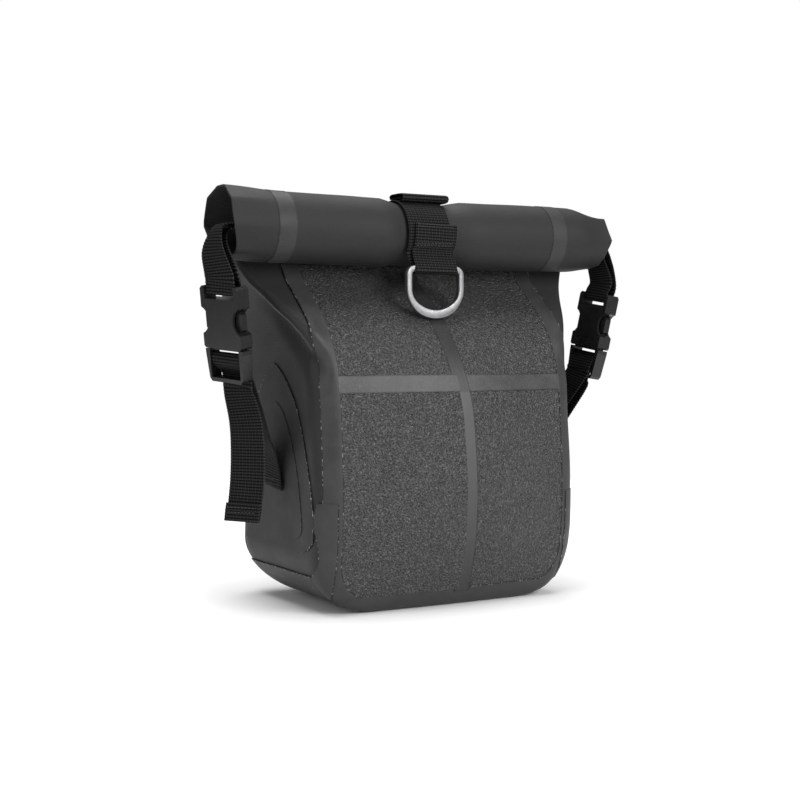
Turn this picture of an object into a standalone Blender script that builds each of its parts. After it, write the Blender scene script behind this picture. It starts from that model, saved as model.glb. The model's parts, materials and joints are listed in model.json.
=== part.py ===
"""Small roll-top pannier bag, closed: welded panels, rolled collar, side-release buckles, D-ring strap,
and the two rails with hooks that hang it on a bicycle rack. Metres, +Z up, front towards -Y,
origin at the middle of the base's underside."""

import math

import bmesh
import bpy
from mathutils import Matrix, Vector

MM = 0.001
GAP = 0.3 * MM  # clearance kept between pieces that touch

# ---- driving dimensions -------------------------------------------------------------------------------
HALF_WIDTH = 115 * MM
HALF_DEPTH = 75 * MM
CORNER = 18 * MM
WALL = 2.4 * MM
BOOT_TOP = 28 * MM
BOOT_ROUND = 22 * MM
NECK_Z = 262.5 * MM
NECK_Y = -12 * MM
NECK_HALF_GAP = 5 * MM

ROLL_Y = -31 * MM
ROLL_Z = 289.5 * MM
ROLL_HALF_LENGTH = 169 * MM
ROLL_RY = 32 * MM
ROLL_RZ = 28.5 * MM
ROLL_TURNS = 2.0
ROLL_WALL = 2.6 * MM
ROLL_PITCH = 6.4 * MM
PINCH = 3.5 * MM  # how far the centre strap pulls the roll in
PINCH_HALF = 21 * MM

SKIN = 0.8 * MM  # thickness of welded patches and tapes
TAPE = 17 * MM
CROSS_TAPE_Z = 172 * MM
CROSS_TAPE = 13 * MM
PATCH_HALF = 99.5 * MM
PATCH_TOP = 256 * MM
EDGE_TAPE = 15 * MM

SIDE_WEB = 30 * MM
CENTRE_WEB = 38 * MM
WEB = 1.6 * MM

CENTRE_X = -4 * MM  # the centre strap, its ring and the pinch it makes sit a little to one side
RING_Y, RING_Z = -56.5 * MM, 259.5 * MM
RING_HALF = 24 * MM
RING_DROP = 35.5 * MM
RING_WIRE = 2.3 * MM

BUCKLE_TOP = Vector((172 * MM, -37 * MM, 244 * MM))  # on the right side; mirrored in X for the left
BUCKLE_UP = Vector((0.14, -0.13, 0.98))
BUCKLE_TWIST = {"left": 19.0, "right": 2.0}  # degrees that each buckle's face turns towards the front
STRAP_ANCHOR = Vector((117.5 * MM, -1 * MM, 86 * MM))

BACK = HALF_DEPTH + GAP  # where the rails start
RAIL_Z, RAIL_HEIGHT, RAIL_DEPTH, RAIL_HALF = 178 * MM, 28 * MM, 8 * MM, 85 * MM
LOW_RAIL_Z, LOW_RAIL_HEIGHT, LOW_RAIL_HALF = 52 * MM, 22 * MM, 60 * MM
HOOK_X, HOOK_WIDTH = 50 * MM, 24 * MM
TUBE_Y, TUBE_Z, TUBE_R = 26 * MM, 44 * MM, 8.2 * MM  # from the rail's lower back corner
PIVOT_Y, PIVOT_Z = 13 * MM, 33 * MM
SCREW_X = {"upper": 76 * MM, "lower": 50 * MM}

COLOURS = {
    "coated_fabric": ((0.050, 0.051, 0.053, 1), 0.62, 0.0),
    "textured_fabric": ((0.060, 0.061, 0.063, 1), 0.55, 0.0),
    "weld_tape": ((0.085, 0.082, 0.083, 1), 0.45, 0.0),
    "webbing": ((0.018, 0.018, 0.019, 1), 0.85, 0.0),
    "black_plastic": ((0.022, 0.023, 0.024, 1), 0.35, 0.0),
    "stiffener_board": ((0.030, 0.030, 0.032, 1), 0.50, 0.0),
    "ring_metal": ((0.500, 0.500, 0.510, 1), 0.32, 0.9),
    "rail_alloy": ((0.180, 0.180, 0.185, 1), 0.40, 0.9),
    "screw_steel": ((0.450, 0.450, 0.460, 1), 0.30, 1.0),
}


# ---- scene and mesh helpers ---------------------------------------------------------------------------
def clear_scene():
    for obj in list(bpy.data.objects):
        bpy.data.objects.remove(obj, do_unlink=True)


def make_collection(name):
    collection = bpy.data.collections.new(name)
    bpy.context.scene.collection.children.link(collection)
    return collection


def make_material(name):
    colour, roughness, metallic = COLOURS[name]
    material = bpy.data.materials.new(name)
    material.use_nodes = True
    shader = material.node_tree.nodes["Principled BSDF"]
    shader.inputs["Base Color"].default_value = colour
    shader.inputs["Roughness"].default_value = roughness
    shader.inputs["Metallic"].default_value = metallic
    material.diffuse_color = colour
    return material


clear_scene()
PARTS = make_collection("pannier_bag")
CUTTERS = make_collection("cutters")
MATERIALS = {name: make_material(name) for name in COLOURS}


def link(name, data, material, matrix=None):
    obj = bpy.data.objects.new(name, data)
    PARTS.objects.link(obj)
    data.materials.clear()
    data.materials.append(MATERIALS[material])
    if matrix is not None:
        obj.matrix_world = matrix
    return obj


def mesh_from(bm, name):
    bmesh.ops.recalc_face_normals(bm, faces=bm.faces)
    mesh = bpy.data.meshes.new(name)
    bm.to_mesh(mesh)
    bm.free()
    return mesh


def shade_round(mesh, angle=35):
    """Shade a curved piece smooth, and leave its real edges sharp."""
    mesh.shade_smooth()
    mesh.set_sharp_from_angle(angle=math.radians(angle))


def between(name, outer, inner, material, closed=False, matrix=None):
    """A sheet with thickness: the loft between two grids of points. Rows of a closed grid are rings."""
    bm = bmesh.new()
    outside = [[bm.verts.new(p) for p in row] for row in outer]
    inside = [[bm.verts.new(p) for p in row] for row in inner]
    rows, cols = len(outer), len(outer[0])
    last = cols if closed else cols - 1
    for i in range(rows - 1):
        for j in range(last):
            k = (j + 1) % cols
            for grid in (outside, inside):
                bm.faces.new((grid[i][j], grid[i][k], grid[i + 1][k], grid[i + 1][j]))
    for i in (0, rows - 1):
        for j in range(last):
            k = (j + 1) % cols
            bm.faces.new((outside[i][j], outside[i][k], inside[i][k], inside[i][j]))
    if not closed:
        for j in (0, cols - 1):
            for i in range(rows - 1):
                bm.faces.new((outside[i][j], outside[i + 1][j], inside[i + 1][j], inside[i][j]))
    return link(name, mesh_from(bm, name), material, matrix)


def evaluated_mesh(obj, weld=0.00001):
    """The mesh an object evaluates to, with its loose caps welded on and its flat faces made whole."""
    bpy.context.view_layer.update()
    depsgraph = bpy.context.evaluated_depsgraph_get()
    mesh = bpy.data.meshes.new_from_object(obj.evaluated_get(depsgraph), depsgraph=depsgraph)
    bm = bmesh.new()
    bm.from_mesh(mesh)
    bmesh.ops.remove_doubles(bm, verts=bm.verts, dist=weld)
    bmesh.ops.dissolve_limit(bm, angle_limit=math.radians(0.5), verts=bm.verts, edges=bm.edges)
    bm.to_mesh(mesh)
    bm.free()
    return mesh


AXES = {
    "XYZ": Matrix.Identity(4),
    "YZX": Matrix(((0, 0, 1, 0), (1, 0, 0, 0), (0, 1, 0, 0), (0, 0, 0, 1))),
    "XZY": Matrix(((1, 0, 0, 0), (0, 0, 1, 0), (0, 1, 0, 0), (0, 0, 0, 1))),
}


def outline_solid(name, outline, start, end, material, axes="YZX", matrix=None):
    """A flat outline, drawn in the first two of axes, extruded along the third from start to end."""
    curve = bpy.data.curves.new(name, "CURVE")
    curve.dimensions = "2D"
    curve.fill_mode = "BOTH"
    curve.extrude = (end - start) / 2
    spline = curve.splines.new("POLY")
    spline.points.add(len(outline) - 1)
    for point, (a, b) in zip(spline.points, outline):
        point.co = (a, b, 0, 1)
    spline.use_cyclic_u = True
    drawn = bpy.data.objects.new(name, curve)
    PARTS.objects.link(drawn)
    mesh = evaluated_mesh(drawn)
    bpy.data.objects.remove(drawn)
    mesh.transform(AXES[axes] @ Matrix.Translation((0, 0, (start + end) / 2)))
    if AXES[axes].determinant() < 0:
        mesh.flip_normals()
    return link(name, mesh, material, matrix)


def sheet(name, rows, thickness, material, offset=0.0):
    """An open surface through rows of points, given its thickness by Solidify."""
    verts = [p for row in rows for p in row]
    count = len(rows[0])
    faces = []
    for i in range(len(rows) - 1):
        for j in range(count - 1):
            a = i * count + j
            faces.append((a, a + 1, a + count + 1, a + count))
    mesh = bpy.data.meshes.new(name)
    mesh.from_pydata(verts, [], faces)
    shade_round(mesh)
    obj = link(name, mesh, material)
    solidify = obj.modifiers.new("thickness", "SOLIDIFY")
    solidify.thickness = thickness
    solidify.offset = offset
    solidify.use_even_offset = True
    return obj


def origin_at(obj, point):
    """Put an object's origin on the axis it moves about, leaving its shape where it is."""
    place = obj.matrix_world.copy()
    shift = place.inverted() @ Vector(point)
    obj.data.transform(Matrix.Translation(-shift))
    place.translation = Vector(point)
    obj.matrix_world = place


def arc(centre, radius, start, end, steps):
    """Points on a circle from one angle to another, in degrees."""
    angles = [math.radians(start + (end - start) * i / steps) for i in range(steps + 1)]
    return [(centre[0] + radius * math.cos(a), centre[1] + radius * math.sin(a)) for a in angles]


def rounded_box_outline(x0, y0, x1, y1, radius, steps=3):
    return (
        arc((x1 - radius, y0 + radius), radius, -90, 0, steps)
        + arc((x1 - radius, y1 - radius), radius, 0, 90, steps)
        + arc((x0 + radius, y1 - radius), radius, 90, 180, steps)
        + arc((x0 + radius, y0 + radius), radius, 180, 270, steps)
    )


def as_cutter(obj):
    for collection in list(obj.users_collection):
        collection.objects.unlink(obj)
    CUTTERS.objects.link(obj)
    obj.hide_render = True
    obj.display_type = "WIRE"
    return obj


def box_cutter(name, low, high, matrix=None):
    bpy.ops.mesh.primitive_cube_add(size=1)
    obj = bpy.context.object
    obj.name = name
    size = Vector(high) - Vector(low)
    middle = (Vector(high) + Vector(low)) / 2
    obj.data.transform(Matrix.Translation(middle) @ Matrix.Diagonal((*size, 1)))
    if matrix is not None:
        obj.matrix_world = matrix
    return as_cutter(obj)


def cylinder(name, centre, radius, length, axis, sides=16):
    """A cylinder about a point, along a world axis."""
    bpy.ops.mesh.primitive_cylinder_add(vertices=sides, radius=radius, depth=length)
    obj = bpy.context.object
    obj.name = name
    turn = {"X": Matrix.Rotation(math.pi / 2, 4, "Y"), "Y": Matrix.Rotation(math.pi / 2, 4, "X")}
    obj.data.transform(turn.get(axis, Matrix.Identity(4)))
    obj.location = centre
    return obj


def as_part(obj, material):
    for collection in list(obj.users_collection):
        collection.objects.unlink(obj)
    PARTS.objects.link(obj)
    shade_round(obj.data)
    obj.data.materials.clear()
    obj.data.materials.append(MATERIALS[material])
    return obj


def boolean(obj, other, operation="DIFFERENCE"):
    modifier = obj.modifiers.new(other.name, "BOOLEAN")
    modifier.operation = operation
    modifier.object = other
    modifier.solver = "EXACT"
    return obj


# ---- the bag's walls ----------------------------------------------------------------------------------
BODY_SECTIONS = (  # height, half width, front, back, corner radius
    (0 * MM, HALF_WIDTH, -71 * MM, 75 * MM, CORNER),
    (BOOT_TOP, HALF_WIDTH, -76 * MM, 75 * MM, CORNER),
    (60 * MM, HALF_WIDTH, -81.5 * MM, 75 * MM, CORNER),
    (100 * MM, HALF_WIDTH, -85 * MM, 75 * MM, CORNER),
    (145 * MM, HALF_WIDTH, -82 * MM, 75 * MM, CORNER),
    (180 * MM, 116 * MM, -75 * MM, 75 * MM, CORNER),
    (200 * MM, 119 * MM, -66 * MM, 75 * MM, 17 * MM),
    (218 * MM, 125 * MM, -54 * MM, 73 * MM, 15 * MM),
    (238 * MM, 136 * MM, -34 * MM, 58 * MM, 12 * MM),
    (251 * MM, 145 * MM, -20 * MM, 34 * MM, 8 * MM),
    (NECK_Z, 150 * MM, NECK_Y - NECK_HALF_GAP, NECK_Y + NECK_HALF_GAP, 4.5 * MM),
)
WALL_HEIGHTS = [z * MM for z in (28.4, 60, 100, 145, 180, 190, 200, 209, 218, 228, 238, 251)] + [NECK_Z]
DROP_START, DROP_END = 205 * MM, 245 * MM


def section(z):
    """Half width, front, back and corner radius of the bag at a height."""
    for low, high in zip(BODY_SECTIONS, BODY_SECTIONS[1:]):
        if z <= high[0] + 1e-9:
            t = (z - low[0]) / (high[0] - low[0])
            return [a + (b - a) * t for a, b in zip(low[1:], high[1:])]
    return list(BODY_SECTIONS[-1][1:])


def wall_point(z, s, offset=0.0):
    """The point s metres round the bag from the middle of the front, at a height, moved out by offset."""
    half, front, back, corner = section(z)
    side = -1 if s < 0 else 1
    flat = half - corner
    bend = corner * math.pi / 2
    depth = back - front - 2 * corner
    s = abs(s)
    reach = corner + offset
    if s <= flat:
        x, y = s, front - offset
    elif s <= flat + bend:
        angle = (s - flat) / corner
        x, y = flat + reach * math.sin(angle), front + corner - reach * math.cos(angle)
    elif s <= flat + bend + depth:
        x, y = half + offset, front + corner + (s - flat - bend)
    elif s <= flat + 2 * bend + depth:
        angle = (s - flat - bend - depth) / corner
        x, y = flat + reach * math.cos(angle), back - corner + reach * math.sin(angle)
    else:
        x, y = flat - (s - flat - 2 * bend - depth), back + offset
    return Vector((side * x, y, z))


def wall_drop(z):
    """How far the inner face sits below the outer one, so that the sloping top keeps its thickness."""
    t = min(1.0, max(0.0, (z - DROP_START) / (DROP_END - DROP_START)))
    return WALL * t


def ramp(start, end, steps):
    return [start + (end - start) * i / steps for i in range(steps + 1)]


def panel_stops(z, which):
    """Distances round the bag at which a panel has points, from seam to seam."""
    half, front, back, corner = section(z)
    flat, bend, depth = half - corner, corner * math.pi / 2, back - front - 2 * corner
    seam = GAP * corner / (corner - WALL)
    if which == "front":
        reach = ramp(flat, flat + bend / 2 - seam, 2)
        return [-s for s in reversed(reach)] + ramp(-flat, flat, 4)[1:-1] + reach
    if which == "side":
        near = ramp(flat + bend / 2 + seam, flat + bend, 2)
        far = ramp(flat + bend + depth, flat + 1.5 * bend + depth - seam, 2)
        return near + ramp(near[-1], far[0], 3)[1:-1] + far
    turn = ramp(flat + 1.5 * bend + depth + seam, flat + 2 * bend + depth, 2)
    return turn + ramp(turn[-1], turn[-1] + 2 * flat, 4)[1:-1]


def back_row(z, offset):
    """A row of points across the back panel, from the right seam to the left one."""
    stops = panel_stops(z, "back")
    right = [wall_point(z, s, offset) for s in stops[:3]]
    middle = [wall_point(z, s, offset) for s in stops[3:]]
    left = [Vector((-p.x, p.y, p.z)) for p in reversed(right)]
    return right + middle + left


def wall_panel(name, which, sign=1):
    outer, inner = [], []
    for z in WALL_HEIGHTS:
        for grid, offset, drop in ((outer, 0.0, 0.0), (inner, -WALL, wall_drop(z))):
            if which == "back":
                row = back_row(z, offset)
            else:
                row = [wall_point(z, sign * s, offset) for s in panel_stops(z, which)]
            grid.append([p - Vector((0, 0, drop)) for p in row])
    return between(name, outer, inner, "coated_fabric")


def boot_ring(z, offset):
    """One ring of the base, drawn in towards its rounded lower edge."""
    height = BOOT_ROUND
    inset = 0.0
    if z < height:
        inset = height - math.sqrt(height**2 - (height - z) ** 2)
    half, front, back, corner = section(z)
    x, y0, y1 = half - inset + offset, front + 0.45 * inset - offset, back - inset + offset
    r = corner + offset
    low, high = y0 + r, y1 - r
    corners = ((x - r, low, -90), (x - r, high, 0), (r - x, high, 90), (r - x, low, 180))
    ring = []
    for cx, cy, start in corners:
        ring += [Vector((px, py, z)) for px, py in arc((cx, cy), r, start, start + 90, 4)]
    return ring


def base_boot():
    """The moulded tub that closes the bottom: rounded outside, flat where it stands."""
    heights = [z * MM for z in (0, 0.9, 3.2, 7, 12, 18, 28)]
    bm = bmesh.new()
    outer = [[bm.verts.new(p) for p in boot_ring(z, 0)] for z in heights]
    inner = []
    for z in heights:
        ring = boot_ring(z, -WALL)
        lift = WALL * max(0.0, 1 - z / BOOT_TOP)
        inner.append([bm.verts.new(p + Vector((0, 0, lift))) for p in ring])
    count = len(outer[0])
    for i in range(len(heights) - 1):
        for j in range(count):
            k = (j + 1) % count
            for grid in (outer, inner):
                bm.faces.new((grid[i][j], grid[i][k], grid[i + 1][k], grid[i + 1][j]))
    for j in range(count):
        k = (j + 1) % count
        bm.faces.new((outer[-1][j], outer[-1][k], inner[-1][k], inner[-1][j]))
    bm.faces.new(outer[0])
    bm.faces.new(inner[0])
    return link("base_boot", mesh_from(bm, "base_boot"), "coated_fabric")


# ---- patches and tapes welded on the walls ------------------------------------------------------------
def skin(name, rows, layer, material):
    """A thin piece laid on the walls. Each row is a height and its distances round the bag."""
    lift = 1.5 * GAP + layer * (SKIN + GAP)
    outer = [[wall_point(z, s, lift + SKIN) for s in stops] for z, stops in rows]
    inner = [[wall_point(z, s, lift) for s in stops] for z, stops in rows]
    return between(name, outer, inner, material)


def heights_between(low, high):
    return [low] + [z for z in WALL_HEIGHTS if low + MM < z < high - MM] + [high]


def bend_stops(z, start, end):
    """Four places between start and end, moved onto the corner's folds where they are near one."""
    half, front, back, corner = section(z)
    folds = panel_stops(z, "front")[-3:-1] + [half - corner + corner * math.pi / 4]
    folds += panel_stops(z, "side")[1:3]
    stops = ramp(start, end, 5)[1:-1]
    for i, s in enumerate(stops):
        near = min(folds, key=lambda fold: abs(fold - s))
        if abs(near - s) < (end - start) / 10:
            stops[i] = near
    return stops


def patch_stops(z):
    """Places across the front patch, with one on each corner's first fold."""
    half, front, back, corner = section(z)
    flat = min(half - corner, PATCH_HALF - 2 * MM)
    return [-PATCH_HALF] + ramp(-flat, flat, 6) + [PATCH_HALF]


def front_skins():
    cuts = {
        "front_patch_lower": (BOOT_TOP + MM, CROSS_TAPE_Z - GAP),
        "front_patch_upper": (CROSS_TAPE_Z + GAP, PATCH_TOP),
    }
    for name, (low, high) in cuts.items():
        skin(name, [(z, patch_stops(z)) for z in heights_between(low, high)], 0, "textured_fabric")
    across = heights_between(CROSS_TAPE_Z - CROSS_TAPE / 2, CROSS_TAPE_Z + CROSS_TAPE / 2)
    for side, sign in (("left", -1), ("right", 1)):
        stops = [sign * s for s in ramp(TAPE / 2 + GAP, PATCH_HALF, 4)]
        skin(f"cross_tape_{side}", [(z, stops) for z in across], 1, "weld_tape")
        edge = []
        for z in heights_between(BOOT_TOP + MM, PATCH_TOP):
            start, end = PATCH_HALF + GAP, PATCH_HALF + EDGE_TAPE
            stops = [start] + bend_stops(z, start, end) + [end]
            edge.append((z, [sign * s for s in stops]))
        skin(f"edge_tape_{side}", edge, 0, "weld_tape")
    stops = ramp(-TAPE / 2, TAPE / 2, 2)
    skin("centre_tape", [(z, stops) for z in heights_between(BOOT_TOP + MM, PATCH_TOP)], 1, "weld_tape")


def side_skins():
    """The arched patch that carries each strap's anchor."""
    low, shoulder, top = 52 * MM, 120 * MM, 178 * MM
    for side, sign in (("left", -1), ("right", 1)):
        rows = []
        for z in (low, 100 * MM, shoulder, 145 * MM, 158 * MM, 170 * MM, top):
            half, front, back, corner = section(z)
            middle = half - corner + corner * math.pi / 2 + STRAP_ANCHOR.y - front - corner
            t = max(0.0, (z - shoulder) / (top - shoulder))
            reach = 34 * MM * math.sqrt(max(0.03, 1 - t * t))
            rows.append((z, [sign * s for s in ramp(middle - reach, middle + reach, 3)]))
        skin(f"side_patch_{side}", rows, 0, "coated_fabric")


# ---- the rolled collar --------------------------------------------------------------------------------
def roll_radius(x):
    """How far the roll is drawn in at a place along it."""
    t = min(1.0, max(0.0, (abs(x - CENTRE_X) - PINCH_HALF) / (10 * MM)))
    return PINCH * (1 - t * t * (3 - 2 * t))


def roll_point(x, angle, inset):
    """A point on the roll. angle runs from the bottom, back and up over the top, down the front."""
    shrink = roll_radius(x) + inset
    y = ROLL_Y + (ROLL_RY - shrink) * math.sin(angle)
    z = ROLL_Z - (ROLL_RZ - shrink) * math.cos(angle)
    return Vector((x, y, z))


ROLL_STATIONS = [CENTRE_X + x * MM for x in (-31, -26, -21, 0, 21, 26, 31)]


def roll_top():
    """The collar's sheet, wound inwards from the neck."""
    stations = [-ROLL_HALF_LENGTH, -100 * MM] + ROLL_STATIONS + [100 * MM, ROLL_HALF_LENGTH]
    steps = int(22 * ROLL_TURNS)
    angles = ramp(math.radians(4), math.radians(4) + ROLL_TURNS * 2 * math.pi, steps)
    rows = []
    for x in stations:
        rows.append([roll_point(x, a, ROLL_PITCH * (a - angles[0]) / (2 * math.pi)) for a in angles])
    sheet("roll_top", rows, ROLL_WALL, "coated_fabric", offset=-1.0)
    for side, sign in (("left", -1), ("right", 1)):
        x0 = sign * 118 * MM
        band = ramp(math.radians(120), math.radians(345), 16)
        rows = [x0 - TAPE / 2, x0 + TAPE / 2]
        outer = [[roll_point(x, a, -GAP - SKIN) for a in band] for x in rows]
        inner = [[roll_point(x, a, -GAP) for a in band] for x in rows]
        between(f"roll_tape_{side}", outer, inner, "weld_tape")


def closure_strips():
    """Two flat battens at the mouth, in the core of the roll."""
    for place, low in (("front", -2.0 * MM), ("back", 0.8 * MM)):
        outline = rounded_box_outline(-150 * MM, ROLL_Z - 8 * MM, 150 * MM, ROLL_Z + 8 * MM, 3 * MM)
        start = ROLL_Y + low
        outline_solid(f"closure_strip_{place}", outline, start, start + 1.2 * MM, "stiffener_board", "XZY")


# ---- webbing ------------------------------------------------------------------------------------------
def ribbon(name, stations, width, material="webbing"):
    """A strap through stations of (middle, direction of its width)."""
    rows = []
    for i, (middle, across) in enumerate(stations):
        before = stations[max(0, i - 1)][0]
        after = stations[min(len(stations) - 1, i + 1)][0]
        along = (after - before).normalized()
        across = (across - along * across.dot(along)).normalized()
        rows.append([middle + across * width * t for t in (-0.5, 0.5)])
    return sheet(name, rows, WEB, material)


def spread(points, count):
    """Points evenly spaced along a smooth Catmull-Rom curve through the given ones."""
    fine = []
    for i in range(len(points) - 1):
        p0, p1 = points[max(0, i - 1)], points[i]
        p2, p3 = points[i + 1], points[min(len(points) - 1, i + 2)]
        for step in range(12):
            t = step / 12
            fine.append(
                0.5 * (2 * p1 + (p2 - p0) * t + (2 * p0 - 5 * p1 + 4 * p2 - p3) * t**2
                       + (3 * p1 - p0 - 3 * p2 + p3) * t**3)
            )
    fine.append(points[-1])
    lengths = [0.0]
    for a, b in zip(fine, fine[1:]):
        lengths.append(lengths[-1] + (b - a).length)
    placed, k = [], 0
    for i in range(count + 1):
        goal = lengths[-1] * i / count
        while k < len(fine) - 2 and lengths[k + 1] < goal:
            k += 1
        t = (goal - lengths[k]) / max(1e-9, lengths[k + 1] - lengths[k])
        placed.append(fine[k].lerp(fine[k + 1], t))
    return placed


def centre_strap():
    """From the back's sloping top, over the roll, round the ring's bar and back up its own front."""
    clear = WEB / 2 + 2 * GAP
    (low, _, _, low_back, _), (high, _, _, high_back, _) = BODY_SECTIONS[-3:-1]
    back = []
    for y in (52 * MM, 37 * MM):
        on_slope = low + (high - low) * (low_back - y) / (low_back - high_back)
        back.append(Vector((CENTRE_X, y, on_slope + clear + 0.6 * MM)))
    over = [roll_point(CENTRE_X, math.radians(a), -clear) for a in range(118, 311, 12)]
    bar = Vector((CENTRE_X, RING_Y, RING_Z))
    turn = RING_WIRE + GAP + WEB / 2
    wrap = []
    for a in (35, 5, -25, -55, -85, -115, -145, 178):
        wrap.append(bar + Vector((0, math.cos(math.radians(a)), math.sin(math.radians(a)))) * turn)
    fold = [roll_point(CENTRE_X, math.radians(a), -clear - WEB - 3 * GAP) for a in range(302, 235, -12)]
    points = back + over + wrap + fold
    ribbon("centre_strap", [(p, Vector((1, 0, 0))) for p in points], CENTRE_WEB)


def strap_keeper():
    """The short folded webbing tab that lies across the strap on top of the roll."""
    top = roll_point(CENTRE_X, math.pi, -(WEB + 5 * GAP))
    low, high = top.z, top.z + 3.4 * MM
    outline = rounded_box_outline(CENTRE_X - 21 * MM, low, CENTRE_X + 21 * MM, high, 1.2 * MM)
    outline_solid("strap_keeper", outline, ROLL_Y - 10 * MM, ROLL_Y + 10 * MM, "webbing", "XZY")


def d_ring():
    """A closed ring with a straight bar and a round bow, turned about the bar's axis."""
    straight = RING_DROP - RING_HALF + 4 * MM
    outline = [(-RING_HALF + 5 * MM, 0), (RING_HALF - 5 * MM, 0)]
    outline += arc((RING_HALF - 5 * MM, -5 * MM), 5 * MM, 60, 0, 2)
    bow = arc((0, -straight), 1.0, 0, -180, 12)
    outline += [(x * RING_HALF, -straight + (y + straight) * (RING_DROP - straight)) for x, y in bow]
    outline += arc((-RING_HALF + 5 * MM, -5 * MM), 5 * MM, 180, 120, 2)
    curve = bpy.data.curves.new("d_ring", "CURVE")
    curve.dimensions = "3D"
    curve.bevel_depth = RING_WIRE
    curve.bevel_resolution = 2
    spline = curve.splines.new("POLY")
    spline.points.add(len(outline) - 1)
    for point, (x, z) in zip(spline.points, outline):
        point.co = (x, 0, z, 1)
    spline.use_cyclic_u = True
    place = Matrix.Translation((CENTRE_X, RING_Y, RING_Z))
    link("d_ring", curve, "ring_metal", place)


# ---- side-release buckles -----------------------------------------------------------------------------
FEMALE_LENGTH, BUCKLE_HALF, BUCKLE_THICK = 46 * MM, 20 * MM, 11.5 * MM
MALE_TOP, MALE_BOTTOM = -46.9 * MM, -71.5 * MM
FINGER = ((23.5 * MM, -25.5 * MM), 10.5 * MM)  # centre and radius of each finger cut-out
WRAP_BAR_V, WRAP_BAR_R = -53.5 * MM, 1.9 * MM
PRONG_ROOT = (13.1 * MM, -42.8 * MM)  # where each arm bends


def buckle_frame(side):
    """The buckle's own frame: U across it, V up along the strap, N out of its face."""
    sign = -1 if side == "left" else 1
    up = Vector((sign * BUCKLE_UP.x, BUCKLE_UP.y, BUCKLE_UP.z)).normalized()
    twist = math.radians(BUCKLE_TWIST[side])
    out = Vector((sign * math.cos(twist), -math.sin(twist), 0))
    out = (out - up * out.dot(up)).normalized()
    across = up.cross(out)
    place = Matrix((across, up, out)).transposed().to_4x4()
    place.translation = Vector((sign * BUCKLE_TOP.x, BUCKLE_TOP.y, BUCKLE_TOP.z))
    return place


def mirrored(half):
    """A closed outline from its right half, listed from the lower middle to the upper middle."""
    return half + [(-x, y) for x, y in reversed(half)]


def female_buckle(side, place):
    (cx, cy), radius = FINGER
    meet = math.degrees(math.acos((cx - BUCKLE_HALF) / radius))
    half = [(0, -FEMALE_LENGTH), (BUCKLE_HALF - 1.5 * MM, -FEMALE_LENGTH), (BUCKLE_HALF, -44.5 * MM)]
    half += arc((cx, cy), radius, 180 + meet, 180 - meet, 8)
    half += [(BUCKLE_HALF, -2 * MM), (BUCKLE_HALF - 2 * MM, 0), (0, 0)]
    outline = [p for p in mirrored(half)]
    outline = [p for i, p in enumerate(outline) if p != outline[i - 1]]
    thick = BUCKLE_THICK / 2
    body = outline_solid(f"buckle_female_{side}", outline, -thick, thick, "black_plastic", "XYZ", place)
    cavity = Vector((16.8, 24, 3.7)) * MM
    middle = Vector((0, -36, 0)) * MM
    boolean(body, box_cutter(f"cavity_{side}", middle - cavity, middle + cavity, place))
    slot = Vector((15.6, 2.4, 9)) * MM
    middle = Vector((0, -7, 0)) * MM
    boolean(body, box_cutter(f"slot_{side}", middle - slot, middle + slot, place))
    for face, sign in (("front", 1), ("back", -1)):
        low, high = sorted((sign * 2.0 * MM, sign * 9 * MM))
        corner, opposite = (-15.6 * MM, -5 * MM, low), (15.6 * MM, 3 * MM, high)
        boolean(body, box_cutter(f"relief_{face}_{side}", corner, opposite, place))
    return body


def male_buckle(side, place):
    thick = 4.8 * MM
    shoulders = 16.2 * MM
    half = [(0, MALE_BOTTOM), (15.5 * MM, MALE_BOTTOM), (17.8 * MM, MALE_BOTTOM + 2.5 * MM)]
    half += [(BUCKLE_HALF, MALE_TOP - 3 * MM), (BUCKLE_HALF, MALE_TOP), (0, MALE_TOP)]
    outline = mirrored(half)
    outline = [p for i, p in enumerate(outline) if p != outline[i - 1]]
    frame = outline_solid(f"buckle_male_{side}", outline, -thick, thick, "black_plastic", "XYZ", place)
    corner, opposite = Vector((-15.6, -68.5, -9)) * MM, Vector((15.6, -46, 9)) * MM
    boolean(frame, box_cutter(f"window_{side}", corner, opposite, place))
    extras = {
        "bridge": ((-shoulders, -47.6 * MM, -3.2 * MM), (shoulders, -43.4 * MM, 3.2 * MM)),
        "tongue": ((-5 * MM, -44 * MM, -1.8 * MM), (5 * MM, -19 * MM, 1.8 * MM)),
    }
    for name, (low, high) in extras.items():
        boolean(frame, box_cutter(f"{name}_{side}", low, high, place), "UNION")
    bar = cylinder(f"wrap_bar_{side}", (0, 0, 0), WRAP_BAR_R, 34 * MM, "X", 10)
    bar.data.transform(Matrix.Translation((0, WRAP_BAR_V, 0)))
    bar.matrix_world = place
    boolean(frame, as_cutter(bar), "UNION")
    return frame


def prong(side, edge, place):
    """A springy arm of the male half. It bends inwards about its root when the buckle is pressed."""
    sign = 1 if (edge == "front") == (side == "left") else -1
    half = [(11.2 * MM, -42.8 * MM), (15.0 * MM, -42.8 * MM), (15.6 * MM, -36.5 * MM)]
    half += [(15.8 * MM, -33.2 * MM), (19.2 * MM, -31.4 * MM), (19.2 * MM, -20.2 * MM)]
    half += [(16.2 * MM, -18.2 * MM), (13.8 * MM, -17 * MM), (13.4 * MM, -21 * MM), (12.2 * MM, -34 * MM)]
    outline = [(sign * x, y) for x, y in half]
    arm = outline_solid(f"prong_{edge}_{side}", outline, -2.6 * MM, 2.6 * MM, "black_plastic", "XYZ", place)
    origin_at(arm, place @ Vector((sign * PRONG_ROOT[0], PRONG_ROOT[1], 0)))
    return arm


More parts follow.
